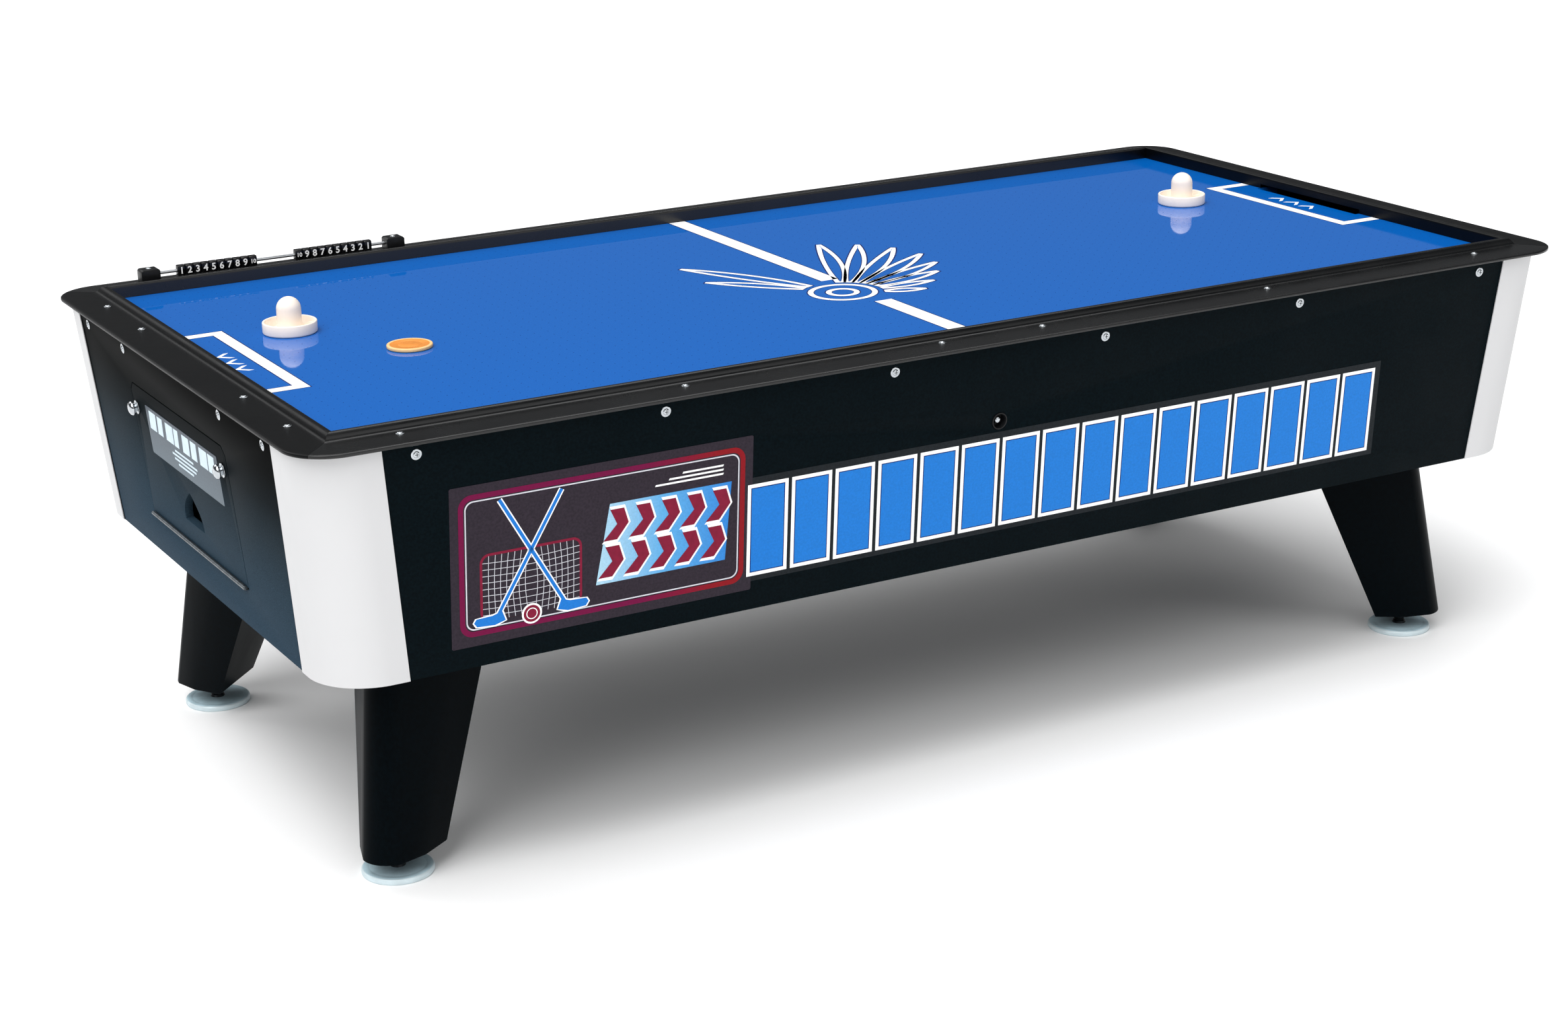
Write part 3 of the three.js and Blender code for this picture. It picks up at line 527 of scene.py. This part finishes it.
def subtract(mesh, cutter):
    solids = []
    for data in (mesh, cutter):
        build = bmesh.new()
        build.from_mesh(data)
        bmesh.ops.recalc_face_normals(build, faces=build.faces)
        build.to_mesh(data)
        build.free()
        obj = bpy.data.objects.new("work", data)
        bpy.context.scene.collection.objects.link(obj)
        solids.append(obj)
    boolean = solids[0].modifiers.new("cut", "BOOLEAN")
    boolean.operation = "DIFFERENCE"
    boolean.solver = "EXACT"
    boolean.object = solids[1]
    graph = bpy.context.evaluated_depsgraph_get()
    graph.update()
    result = bpy.data.meshes.new_from_object(solids[0].evaluated_get(graph))
    for obj in solids:
        bpy.data.objects.remove(obj)
    return result


# ---------------------------------------------------------------- corner guards, legs and feet
def corner_guard(sx, sy):
    def ring(z):
        x, y = outer_x(z), outer_y(z)

        def face(offset):
            bend = arc(x - 97, y - 97, 97 + offset, 0, 90, 28)
            return [(x + offset, y - 124)] + bend + [(x - 124, y + offset)]

        outline = face(2.1) + face(0.3)[::-1]
        return [(sx * a, sy * b, z) for a, b in outline]
    return loft([ring(373.5), ring(374.3), ring(751.6), ring(752.4)])


def leg_shell(sx, sy):
    def ring(z, inset=0.0):
        f = (z - 41) / (373.1 - 41)
        x = 1107 + (1065.8 - 1107) * f
        y = 500 + (457.5 - 500) * f
        scale = 1 + 0.6 * f
        side = [(95 * scale, 14 * scale), (143 * scale, 46 * scale)]
        nose = arc(47, 47, 47, 180, 270, 20)
        outline = [(w, u) for u, w in reversed(side)] + nose + side
        cx = sum(u for u, _ in outline) / len(outline)
        cy = sum(w for _, w in outline) / len(outline)
        grown = [(u + (cx - u) * inset, w + (cy - w) * inset) for u, w in outline]
        return [(sx * (x - u), sy * (y - w), z) for u, w in grown]
    return loft([ring(41.0, 0.02), ring(41.9, 0.006), ring(43, 0.0), ring(373.1)])


def stem_shell():
    profile = [(0, 9.6), (13.5, 9.6), (12.8, 10.6), (12.0, 13.6), (11.0, 15.0), (9.5, 15.0)]
    z = 15.0
    while z < 46:
        profile += [(9.5, z + 0.4), (8.4, z + 1.2), (9.5, z + 2.0)]
        z += 2.4
    return lathe(profile + [(9.5, 83.0), (8.5, 84.0), (0, 84.0)], 72)


FOOT_RIM = [(0, 0), (55.5, 0), (57.6, 0.6), (58.6, 2.2), (58.6, 6.6), (58.2, 8.4), (57.4, 9.4),
            (56.2, 10.0), (0, 10.0)]
FOOT_TOP = [(0, 8.4), (55.8, 8.4), (55.8, 10.2), (55.0, 10.5), (47.0, 10.5), (46.4, 10.3), (45.0, 10.3),
            (44.4, 10.5),
            (23.0, 10.8), (0, 10.8)]


def make_supports():
    for name, (sx, sy) in CORNERS.items():
        Build().add(corner_guard(sx, sy)).finish(
            f"corner_guard_{name}_sheet", "guard", slot="guard", smooth=35,
            replaces=(f"corner_guard_{name}",))
        Build().add(leg_shell(sx, sy)).finish(
            f"leg_{name}_shell", "leg", slot="leg", smooth=28, replaces=(f"leg_{name}",))
        place = lambda a, b, c, sx=sx, sy=sy: (a + sx * FOOT_X, b + sy * FOOT_Y, c)
        body = f"{name}_foot"
        # The rim takes the lighter copy of the zinc: a painted highlight on the foot's edge.
        Build().add(lathe(FOOT_RIM, 72), place).finish(
            f"foot_{name}_rim", "foot_rim", body, "foot", 35, (f"foot_{name}",))
        Build().add(lathe(FOOT_TOP, 72), place).finish(f"foot_{name}_top", "foot", body, "foot", 35)
        Build().add(stem_shell(), place).finish(f"foot_{name}_stem", "thread", body, "foot", 35)


def make_trims():
    """Thin strips of painted shade where the end boards meet the corner guards."""
    shade_strip_shells = Build()
    for place in ENDS.values():
        for side in (-1, 1):
            low, high = outer_y(374.5) - 124, outer_y(751.5) - 124
            outline = [(side * (low - 4.5), 374.5), (side * low, 374.5), (side * high, 751.5),
                       (side * (high - 4.5), 751.5)]
            shade_strip_shells.add(prism(outline, 0.0, 0.8), place)
    shade_strip_shells.finish("guard_shade_strips", "dark", slot="black_plastic")


# ---------------------------------------------------------------- screws
def screw_shell(radius, washer):
    """Domed cross-head screw on a washer, standing up from zero."""
    steps = 8
    dome = [(radius * math.cos(math.radians(90 * k / steps)),
             0.9 + 0.42 * radius * math.sin(math.radians(90 * k / steps)))
            for k in range(steps)]
    profile = [(0, -0.6), (washer, -0.6), (washer, 0.55), (washer - 0.5, 0.9)] + dome
    profile += [(1.7, 0.9 + 0.42 * radius - 0.05), (1.3, 0.5 + 0.2 * radius), (0, 0.3 + 0.2 * radius)]
    return lathe(profile, 24)


# The cross recess is not cut into the head: a near-black cross stands on it instead, painted shade where the
# recess would be.
def cross_shell(radius):
    half, reach, low, high = 0.45, radius * 0.55, 0.6, 0.95 + 0.42 * radius
    outline = [(half, half), (half, reach), (-half, reach), (-half, half), (-reach, half), (-reach, -half),
               (-half, -half), (-half, -reach), (half, -reach), (half, -half), (reach, -half),
               (reach, half)]
    return prism(outline, low, high)


def make_screws():
    rails, boards, crosses = Build(), Build(), Build()

    def set_screw(build, x, y, z, normal, radius, washer):
        turn = Vector((0, 0, 1)).rotation_difference(Vector(normal)).to_matrix()
        place = lambda a, b, c: Vector((x, y, z)) + turn @ Vector((a, b, c))
        build.add(screw_shell(radius, washer), place)
        crosses.add(cross_shell(radius), place)

    deck = 764.85
    for sign in (-1, 1):
        for x in (99, 572, 1048):
            for sx in (-1, 1):
                set_screw(rails, sx * x, sign * (FIELD_Y + 33.5), deck, (0, sign * 0.02, 1), 5.2, 6.8)
        for y in (255, 447):
            for sy in (-1, 1):
                set_screw(rails, sign * (FIELD_X + 33.5), sy * y, deck, (sign * 0.02, 0, 1), 5.2, 6.8)
    c, s = math.cos(SIDE_TILT), math.sin(SIDE_TILT)
    for place, sign in ((near_side, -1), (far_side, 1)):
        for x in (207, 622, 1036):
            for sx in (-1, 1):
                set_screw(boards, *place(sx * x, 737.5, 0.2), (0, sign * c, -s), 5.4, 8.6)
    c, s = math.cos(END_TILT), math.sin(END_TILT)
    for place, sign in ((left_end, -1), (right_end, 1)):
        for y in (243, 440):
            for sy in (-1, 1):
                set_screw(boards, *place(sy * y, 739.5, 0.2), (sign * c, 0, -s), 5.4, 8.6)
    rails.finish("rail_screws", "chrome", slot="chrome", smooth=40)
    boards.finish("cabinet_screws", "chrome", slot="chrome", smooth=40)
    crosses.finish("screw_recess_shade", "dark", slot="black_plastic")


# ---------------------------------------------------------------- playfield print and air holes
def loop(cx, cy, angle, start, reach, bend, width, line):
    """Curved leaf-shaped loop that leaves (cx, cy) at an angle: outlines of its edge, outside and inside."""
    def outline(inset, steps=16):
        points, widths = [], []
        for i in range(steps + 1):
            f = i / steps
            r = start + inset + (reach - start - 2.2 * inset) * f
            a = math.radians(angle + bend * (r - start) / (reach - start))
            points.append((cx + r * math.cos(a), cy + r * math.sin(a)))
            full = width * math.sin(math.pi * (0.12 + 0.84 * f)) ** 0.7
            widths.append(max(1.0, full - 2 * inset))
        return stroke(points, widths)
    return outline(-2.4), outline(0.0), outline(line), outline(line + 1.6)


def make_emblem(white, navy):
    """A winged disc: one long swept wing, a raised fan of feathers and a short tail."""
    def feather(cx, cy, angle, start, reach, bend, width, line=8.0):
        edge, outer, inner, core = loop(cx, cy, angle, start, reach, bend, width, line)
        white.add(frame_plate(outer, inner, *WHITE_PRINT), on_field)
        navy.add(frame_plate(edge, core, *NAVY_PRINT), on_field)

    cx, cy = -28, -142
    for outer, inner in ((62, 52), (30, 20)):
        white.add(frame_plate(circle(cx, cy, outer, 72), circle(cx, cy, inner, 72), *WHITE_PRINT), on_field)
        navy.add(frame_plate(circle(cx, cy, outer + 2.4, 72), circle(cx, cy, inner - 1.6, 72),
                             *NAVY_PRINT), on_field)
    for angle, reach, width in ((112, 356, 38), (126, 262, 34)):
        feather(cx, cy, angle, 74, reach, 4, width)
    for angle, reach in ((62, 386), (51, 380), (40, 362), (29, 330), (18, 284), (7, 232)):
        feather(cx, cy, angle, 74, reach, 4, 38)
    for angle, reach in ((-8, 184), (-27, 150)):
        feather(cx, cy, angle, 74, reach, 4, 30)


def make_field_print():
    white, navy = Build(), Build()
    for y0, y1 in ((-543.4, -232), (-49, 543.4)):
        white.add(prism(rectangle(-17, y0, 17, y1), *WHITE_PRINT), on_field)
        navy.add(prism(rectangle(-19.5, y0, 19.5, y1), *NAVY_PRINT), on_field)
    make_emblem(white, navy)
    for sign in (-1, 1):
        wall, front, half, line = 1141.0, 1050.0, 201.0, 22.0
        bars = [(front, -half - line / 2, front + line, half + line / 2),
                (front + line, -half - line / 2, wall, -half + line / 2),
                (front + line, half - line / 2, wall, half + line / 2)]
        edge = 2.2
        for n, (x0, y0, x1, y1) in enumerate(bars):
            xs = sorted((sign * x0, sign * x1))
            white.add(prism(rectangle(xs[0], y0, xs[1], y1), *WHITE_PRINT), on_field)
            grown = (x0 - edge, y0 - edge, x1 + edge, y1 + edge) if n == 0 else (x0 + edge, y0 - edge, x1,
                                                                                 y1 + edge)
            xs = sorted((sign * grown[0], sign * grown[2]))
            navy.add(prism(rectangle(xs[0], grown[1], xs[1], grown[3]), *NAVY_PRINT), on_field)
        for k in (-1, 0, 1):
            tip = sign * 1117
            tail = sign * 1099
            arrow = [(tail, k * 46 - 17), (tip, k * 46), (tail, k * 46 + 17),
                     (tail - sign * 9, k * 46 + 17),
                     (tip - sign * 9, k * 46), (tail - sign * 9, k * 46 - 17)]
            white.add(prism(arrow, *WHITE_PRINT), on_field)
    white.finish("field_print_white", "print_white", slot="field")
    navy.finish("field_print_navy", "print_navy", slot="field")


def make_air_holes():
    # The air holes are not cut: each is a dark blue dot, painted shade where the hole would be.
    holes = Build()
    pitch = 25.4
    for i in range(-44, 45):
        for j in range(-20, 21):
            x, y = i * pitch, j * pitch
            if abs(x) < 1120 and abs(y) < 528:
                holes.add(prism(circle(x, y, 0.8, 6), -0.05, 0.13), on_field)
    holes.finish("field_air_holes", "air_hole", slot="field")


# ---------------------------------------------------------------- printed label and panels on the long sides
def goal_picture(line, tint, blue, white, place, x0, z0):
    """A goal with its net, two crossed sticks and a puck."""
    w, h = 172.0, 112.0
    left, right, top = x0, x0 + w, z0 + h
    post = 4.2
    tint.add(frame_plate(rectangle(left, z0, right, top, 16, 6),
                         rectangle(left + post, z0 - 0.0, right - post, top - post, 12, 6),
                         0.5, 0.75), place)
    for k in range(1, 15):
        x = left + post + (w - 2 * post) * k / 15
        bow = 5.0 * math.sin(math.pi * k / 15)
        points = [(x + bow * math.sin(math.pi * f / 6) * (1 if k > 7 else -1),
                   z0 + (h - post) * f / 6) for f in range(7)]
        line.add(prism(stroke(points, [0.9] * 7), 0.5, 0.66), place)
    for k in range(1, 10):
        z = z0 + (h - post) * k / 10
        points = [(left + post + (w - 2 * post) * f / 10,
                   z - 4.0 * math.sin(math.pi * f / 10)) for f in range(11)]
        line.add(prism(stroke(points, [0.9] * 11), 0.5, 0.66), place)
    cx = (left + right) / 2
    for sign in (1, -1):
        shaft = [(cx - sign * 62, z0 - 2), (cx + sign * 52, z0 + 196)]
        white.add(prism(stroke(shaft, [9.5, 9.5]), 0.5, 0.86), place)
        blade = [(cx - sign * 44, z0 - 3), (cx - sign * 62, z0 - 8), (cx - sign * 92, z0 - 6),
                 (cx - sign * 97, z0 + 1),
                 (cx - sign * 93, z0 + 7), (cx - sign * 66, z0 + 8), (cx - sign * 50, z0 + 13)]
        white.add(prism(grown(blade, 2.4), 0.5, 0.84), place)
        blue.add(prism(blade, 0.5, 1.0), place)
        blue.add(prism(stroke(shaft, [5.5, 5.5]), 0.5, 0.98), place)
    white.add(prism(circle(cx, z0 - 1, 17, 40), 0.5, 1.02), place)
    tint.add(prism(circle(cx, z0 - 1, 14, 40), 0.5, 1.08), place)
    white.add(frame_plate(circle(cx, z0 - 1, 9.5, 40), circle(cx, z0 - 1, 8.0, 40), 0.5, 1.14), place)


def grown(outline, amount):
    cx = sum(a for a, _ in outline) / len(outline)
    cy = sum(b for _, b in outline) / len(outline)
    out = []
    for a, b in outline:
        length = math.hypot(a - cx, b - cy) or 1.0
        out.append((a + (a - cx) * amount / length * 1.0, b + (b - cy) * amount / length * 1.6))
    return out


def make_side_label(side):
    place = SIDES[side]
    sheet, border, line, tint = Build(), Build(), Build(), Build()
    blue, white, fade, ink = Build(), Build(), Build(), Build()
    sheet.add(prism(rectangle(-986, 409, -466, 673, 3), 0.0, 0.5), place)
    border.add(frame_plate(rectangle(-972, 425, -480, 658, 22),
                           rectangle(-963.5, 433.5, -488.5, 649.5, 15), 0.5, 0.8), place)
    line.add(frame_plate(rectangle(-961.5, 435.5, -490.5, 647.5, 14),
                         rectangle(-959.5, 437.5, -492.5, 645.5, 13), 0.5, 0.75), place)
    goal_picture(line, tint, blue, white, place, -938, 446)
    slant = 14.0
    fade.add(prism([(-742, 470), (-514, 470), (-504, 602), (-732 + slant, 602)], 0.5, 0.7), place)
    for row, (z0, z1) in enumerate(((480, 531), (541, 592))):
        count = 5
        for k in range(count):
            x = -738 + slant * row * 0.6 + k * 45
            shape = [(x, z0), (x + 24, z0), (x + 44, (z0 + z1) / 2), (x + 24 + 12, z1), (x + 12, z1),
                     (x + 24, (z0 + z1) / 2)]
            white.add(prism(grown(shape, 3.4), 0.5, 0.86), place)
            ink.add(prism(shape, 0.5, 1.0), place)
    for k in range(3):
        z = 616 + 7 * k
        white.add(prism([(-640 + 24 * k, z), (-520, z), (-520 + 1.5, z + 3), (-640 + 24 * k + 1.5, z + 3)],
                        0.5, 0.8), place)
    name = f"label_{side}"
    sheet.finish(f"{name}_sheet", "label", slot="side_board")
    border.finish(f"{name}_border", "border", slot="side_board")
    line.finish(f"{name}_net", "pale_line", slot="side_board")
    tint.finish(f"{name}_goal", "burgundy", slot="side_board")
    blue.finish(f"{name}_sticks", "panel_blue", slot="side_board")
    white.finish(f"{name}_white", "print_white", slot="side_board")
    fade.finish(f"{name}_banner", "panel_fade" if side == "near" else "panel_blue", slot="side_board")
    ink.finish(f"{name}_chevrons", "burgundy", slot="side_board")


def make_side_panels(side):
    place = SIDES[side]
    strip, white, navy, blue = Build(), Build(), Build(), Build()
    strip.add(prism([(-466, 423), (824, 423), (824, 601), (-466, 601)], 0.0, 0.3), place)
    for k in range(16):
        x0 = -477.5 + 80.8 * k + 3.3
        x1 = x0 + 74.2
        white.add(prism(rectangle(x0, 432, x1, 589.5), 0.3, 0.62), place)
        navy.add(prism(rectangle(x0 + 6, 438, x1 - 6, 583.5), 0.3, 0.70), place)
        blue.add(prism(rectangle(x0 + 7.6, 439.6, x1 - 7.6, 581.9), 0.3, 0.78), place)
    strip.finish(f"panel_strip_{side}", "strip", slot="side_board")
    white.finish(f"panel_borders_{side}", "print_white", slot="side_board")
    navy.finish(f"panel_lines_{side}", "print_navy", slot="side_board")
    blue.finish(f"panel_fields_{side}", "panel_blue", slot="side_board")


def make_door_label(end):
    place = ENDS[end]
    body = f"{end}_door"
    sheet, mark = Build(), Build()
    # the door's outer face lies in the plane of the end board
    sheet.add(prism(rectangle(-170, 573, 190, 657, 3), 0.0, 0.5), place)
    for k, width in enumerate((34, 26, 38, 22, 34, 28, 38, 30)):
        x = -158 + 42.5 * k
        lean = 5.0
        mark.add(prism([(x, 619), (x + width, 619), (x + width + lean, 651), (x + lean, 651)], 0.5, 0.75),
                 place)
    for k, half in enumerate((46, 62, 54, 38)):
        z = 608 - 7.5 * k
        mark.add(prism([(10 - half, z), (10 + half, z), (10 + half, z + 3.6), (10 - half, z + 3.6)], 0.5,
                       0.75), place)
    sheet.finish(f"door_label_{end}", "door_label", body, "end_board")
    mark.finish(f"door_mark_{end}", "door_ink", body, "end_board")


# ---------------------------------------------------------------- scorer
def tile_shell(x0):
    """One score tile with rounded front, top and back; it is solid and the rod runs through it."""
    y, z, half_y, half_z = 589.0, 779.0, 7.0, 10.0
    r = 3.4

    def ring(x, inset):
        outline = rectangle(y - half_y + inset, z - half_z + inset, y + half_y - inset, z + half_z - inset,
                            r, 6)
        return [(x, a, b) for a, b in outline]

    rows = [ring(x0, 1.0), ring(x0 + 0.35, 0.35), ring(x0 + 1.1, 0.0), ring(x0 + 13.7, 0.0),
            ring(x0 + 14.45, 0.35), ring(x0 + 14.8, 1.0)]
    return loft(rows)


def numeral_shell(text, size):
    curve = bpy.data.curves.new("numeral", "FONT")
    curve.body = text
    curve.size = size * MM
    curve.extrude = 0.2 * MM
    curve.offset = size * 0.022 * MM
    curve.align_x = "CENTER"
    curve.align_y = "CENTER"
    curve.resolution_u = 3
    work = bpy.data.objects.new("numeral", curve)
    bpy.context.scene.collection.objects.link(work)
    graph = bpy.context.evaluated_depsgraph_get()
    graph.update()
    mesh = bpy.data.meshes.new_from_object(work.evaluated_get(graph))
    bpy.data.objects.remove(work)
    build = bmesh.new()
    build.from_mesh(mesh)
    bmesh.ops.remove_doubles(build, verts=build.verts, dist=0.000005)
    points = [tuple(c / MM for c in v.co) for v in build.verts]
    faces = [tuple(v.index for v in f.verts) for f in build.faces]
    build.free()
    return points, faces


def make_scorer():
    pitch = 15.1
    groups = {"left": (-1001.5, list(range(1, 11))), "right": (-776.0, list(range(10, 0, -1)))}
    for side, (start, numbers) in groups.items():
        parts = {"outer": ([], f"{side}_outer_bead", f"score_bead_{side}_outer"),
                 "stack": ([], f"{side}_bead_stack", f"score_beads_{side}_stack"),
                 "inner": ([], f"{side}_inner_bead", f"score_bead_{side}_inner")}
        for k, number in enumerate(numbers):
            which = "outer" if number == 1 else "inner" if number == 10 else "stack"
            parts[which][0].append((start + k * pitch, number))
        for which, (tiles, body, node) in parts.items():
            shells, numerals = Build(), Build()
            for x0, number in tiles:
                shells.add(tile_shell(x0))
                mid = x0 + 7.4
                text = numeral_shell(str(number), 17.0 if number < 10 else 10.8)
                front = lambda a, b, c, mid=mid: (mid + a, 582.0 - c, 779.0 + b)
                back = lambda a, b, c, mid=mid: (mid - a, 596.0 + c, 779.0 + b)
                numerals.add(text, front)
                numerals.add(text, back)
            shells.finish(f"score_tiles_{side}_{which}", "bead", body, "bead", 35, (node,))
            numerals.finish(f"score_numerals_{side}_{which}", "print_white", body, "bead")


def make_block_screws():
    screws, crosses = Build(), Build()
    for cx in (-1053.5, -579.5):
        place = lambda a, b, c, cx=cx: (cx + a, 589 + b, 789.5 + c)
        screws.add(screw_shell(4.2, 5.4), place)
        crosses.add(cross_shell(4.2), place)
    screws.finish("scorer_screws", "chrome", slot="chrome", smooth=40)
    # The dark crosses are painted shade for the screws' cross recesses.
    crosses.finish("scorer_screw_recess_shade", "dark", slot="black_plastic")


# ---------------------------------------------------------------- mallets and puck
def mallet_shell():
    r, rim, wall, base, knob, height = 46.5, 20.0, 4.5, 4.0, 21.0, 62.0
    dome = arc(0, height - knob, knob, 90, 0, 22)
    waist = [(knob + 0.15, height - knob - 12), (knob + 0.3, base + 9), (knob + 0.8, base + 4.5),
             (knob + 2.4, base + 1.8),
             (knob + 4.6, base + 0.4), (knob + 7, base)]
    cup = [(r - wall - 2.2, base), (r - wall - 0.7, base + 0.5), (r - wall, base + 2.0),
           (r - wall + 0.45, rim - 1.6),
           (r - wall + 0.9, rim - 0.5), (r - wall + 1.7, rim), (r - 1.5, rim), (r - 0.5, rim - 0.5),
           (r, rim - 1.5),
           (r, 3.4), (r - 0.5, 1.5), (r - 2.0, 0.3), (0, 0.3)]
    dome[0] = (0.0, height)
    return lathe(dome + waist + cup, 96)


def make_mallets():
    for side, (x, y) in MALLETS.items():
        place = lambda a, b, c, x=x, y=y: (x + a, y + b, FIELD_TOP + c)
        build = Build().add(mallet_shell(), place)
        web = [(19, -1.5), (43, -1.5), (43, 1.5), (19, 1.5)]
        build.add(prism(web, 2.0, 13.0), place)
        build.finish(f"mallet_{side}_body", "mallet", f"{side}_mallet", "mallet", 40, (f"mallet_{side}",))


def make_puck():
    r, t = 38.5, 6.4
    place = lambda a, b, c: (PUCK_X + a, PUCK_Y + b, FIELD_TOP + c)
    core = [(0, 0.3), (33.4, 0.3), (33.4, t - 0.3), (32.6, t - 0.35), (31.6, t - 0.7), (20.5, t - 0.7),
            (19.7, t - 1.1),
            (18.9, t - 0.7), (0, t - 0.7)]
    rim = [(33.4, 0.3), (r - 1.6, 0.3), (r - 0.4, 0.9), (r, 1.8), (r, t - 1.6), (r - 0.4, t - 0.6),
           (r - 1.5, t),
           (r - 4.4, t), (33.4, t - 0.3)]
    Build().add(lathe(core, 96), place).finish(
        "puck_core", "puck", "loose_puck", "puck", 40, ("puck",))
    count = 96
    points = [(a * math.cos(2 * math.pi * k / count), a * math.sin(2 * math.pi * k / count), z)
              for a, z in rim for k in range(count)]
    faces = []
    for row in range(len(rim)):
        nxt = (row + 1) % len(rim)
        for k in range(count):
            j = (k + 1) % count
            faces.append((row * count + k, row * count + j, nxt * count + j, nxt * count + k))
    Build().add((points, faces), place).finish("puck_edge", "puck_rim", "loose_puck", "puck", 40)


# ---------------------------------------------------------------- carried-over nodes
def make_carried_over():
    boards = {"side_panel_near": "side_board", "side_panel_far": "side_board", "bottom_panel": "side_board",
              "end_panel_left": "end_board", "end_panel_right": "end_board", "door_left": "end_board",
              "door_right": "end_board"}
    for node, finish in boards.items():
        refine(node, finish, 0.5)
    for node in ("scorer_block_left", "scorer_block_right"):
        refine(node, "black_plastic", 1.2)
    for node in ("button_bezel", "power_inlet", "intake_grille", "blower_motor"):
        refine(node, "black_plastic", 0.3)
    for node in ("start_button", "door_lock_left_near", "door_lock_left_far", "door_lock_right_near",
                 "door_lock_right_far"):
        refine(node, "chrome", 0.3)
    refine("scorer_rod", "steel", 0.0)
    for node in ("hinge_fixed_leaf_left", "hinge_fixed_leaf_right", "hinge_door_leaf_left",
                 "hinge_door_leaf_right"):
        refine(node, "hinge_steel", 0.0)
    for node in ("goal_chute_left", "goal_chute_right"):
        refine(node, "chute_paint", 0.4)
    for node in ("blower_housing", "blower_impeller"):
        refine(node, "steel", 0.4)
    wood = ["air_chamber", "chamber_spine"]
    for node in wood + [f"corner_post_{name}" for name in CORNERS]:
        refine(node, "inner_wood", 0.4)
    nodes["playfield"].data.materials.clear()
    nodes["playfield"].data.materials.append(FINISH["field"])


# ---------------------------------------------------------------- studio
def make_studio():
    floor_mesh = bpy.data.meshes.new("floor")
    floor_mesh.from_pydata([(-60, -60, 0), (60, -60, 0), (60, 60, 0), (-60, 60, 0)], [], [(0, 1, 2, 3)])
    floor_finish = Finish("studio_floor", (0.95, 0.95, 0.95, 1.0), 0.8, specular=0.05)
    floor_mesh.materials.append(floor_finish.material)
    floor = bpy.data.objects.new("floor", floor_mesh)
    bpy.context.scene.collection.objects.link(floor)

    world = bpy.data.worlds.new("studio")
    bpy.context.scene.world = world
    world.use_nodes = True
    background = world.node_tree.nodes["Background"]
    background.inputs["Color"].default_value = (0.95, 0.97, 1.0, 1.0)
    background.inputs["Strength"].default_value = 0.12

    def sun(name, azimuth, elevation, strength, angle):
        data = bpy.data.lights.new(name, "SUN")
        data.energy = strength
        data.angle = math.radians(angle)
        light = bpy.data.objects.new(name, data)
        a, e = math.radians(azimuth), math.radians(elevation)
        direction = Vector((math.sin(a) * math.cos(e), -math.cos(a) * math.cos(e), math.sin(e)))
        light.rotation_euler = direction.to_track_quat("Z", "Y").to_euler()
        bpy.context.scene.collection.objects.link(light)

    sun("key", -60, 47, 2.25, 50)
    sun("front", 12, 26, 0.8, 60)
    sun("back", -160, 38, 0.8, 40)
    sun("top", -60, 80, 1.5, 40)
    sun("crest", 146, 56, 0.5, 36)

    data = bpy.data.cameras.new("camera")
    data.lens = 65.70
    data.sensor_width = 36.0
    data.sensor_fit = "HORIZONTAL"
    data.clip_end = 200
    camera = bpy.data.objects.new("camera", data)
    yaw, pitch, roll = math.radians(-29.3677), math.radians(-18.0797), math.radians(-1.1452)
    forward = Vector((math.sin(-yaw) * math.cos(pitch), math.cos(-yaw) * math.cos(pitch), math.sin(pitch)))
    level = Vector((math.cos(-yaw), -math.sin(-yaw), 0))
    upright = level.cross(forward)
    right = math.cos(roll) * level + math.sin(roll) * upright
    up = -math.sin(roll) * level + math.cos(roll) * upright
    rotation = Matrix((right, up, -forward)).transposed().to_4x4()
    camera.matrix_world = Matrix.Translation((-2.54521, -4.38689, 1.94521)) @ rotation
    bpy.context.scene.collection.objects.link(camera)
    bpy.context.scene.camera = camera
    bpy.context.scene.view_settings.view_transform = "Standard"


make_studio()
make_carried_over()
make_rails()
make_supports()
make_trims()
make_screws()
make_field_print()
make_air_holes()
for which_side in SIDES:
    make_side_label(which_side)
    make_side_panels(which_side)
for which_end in ENDS:
    make_door_label(which_end)
make_scorer()
make_block_screws()
make_mallets()
make_puck()
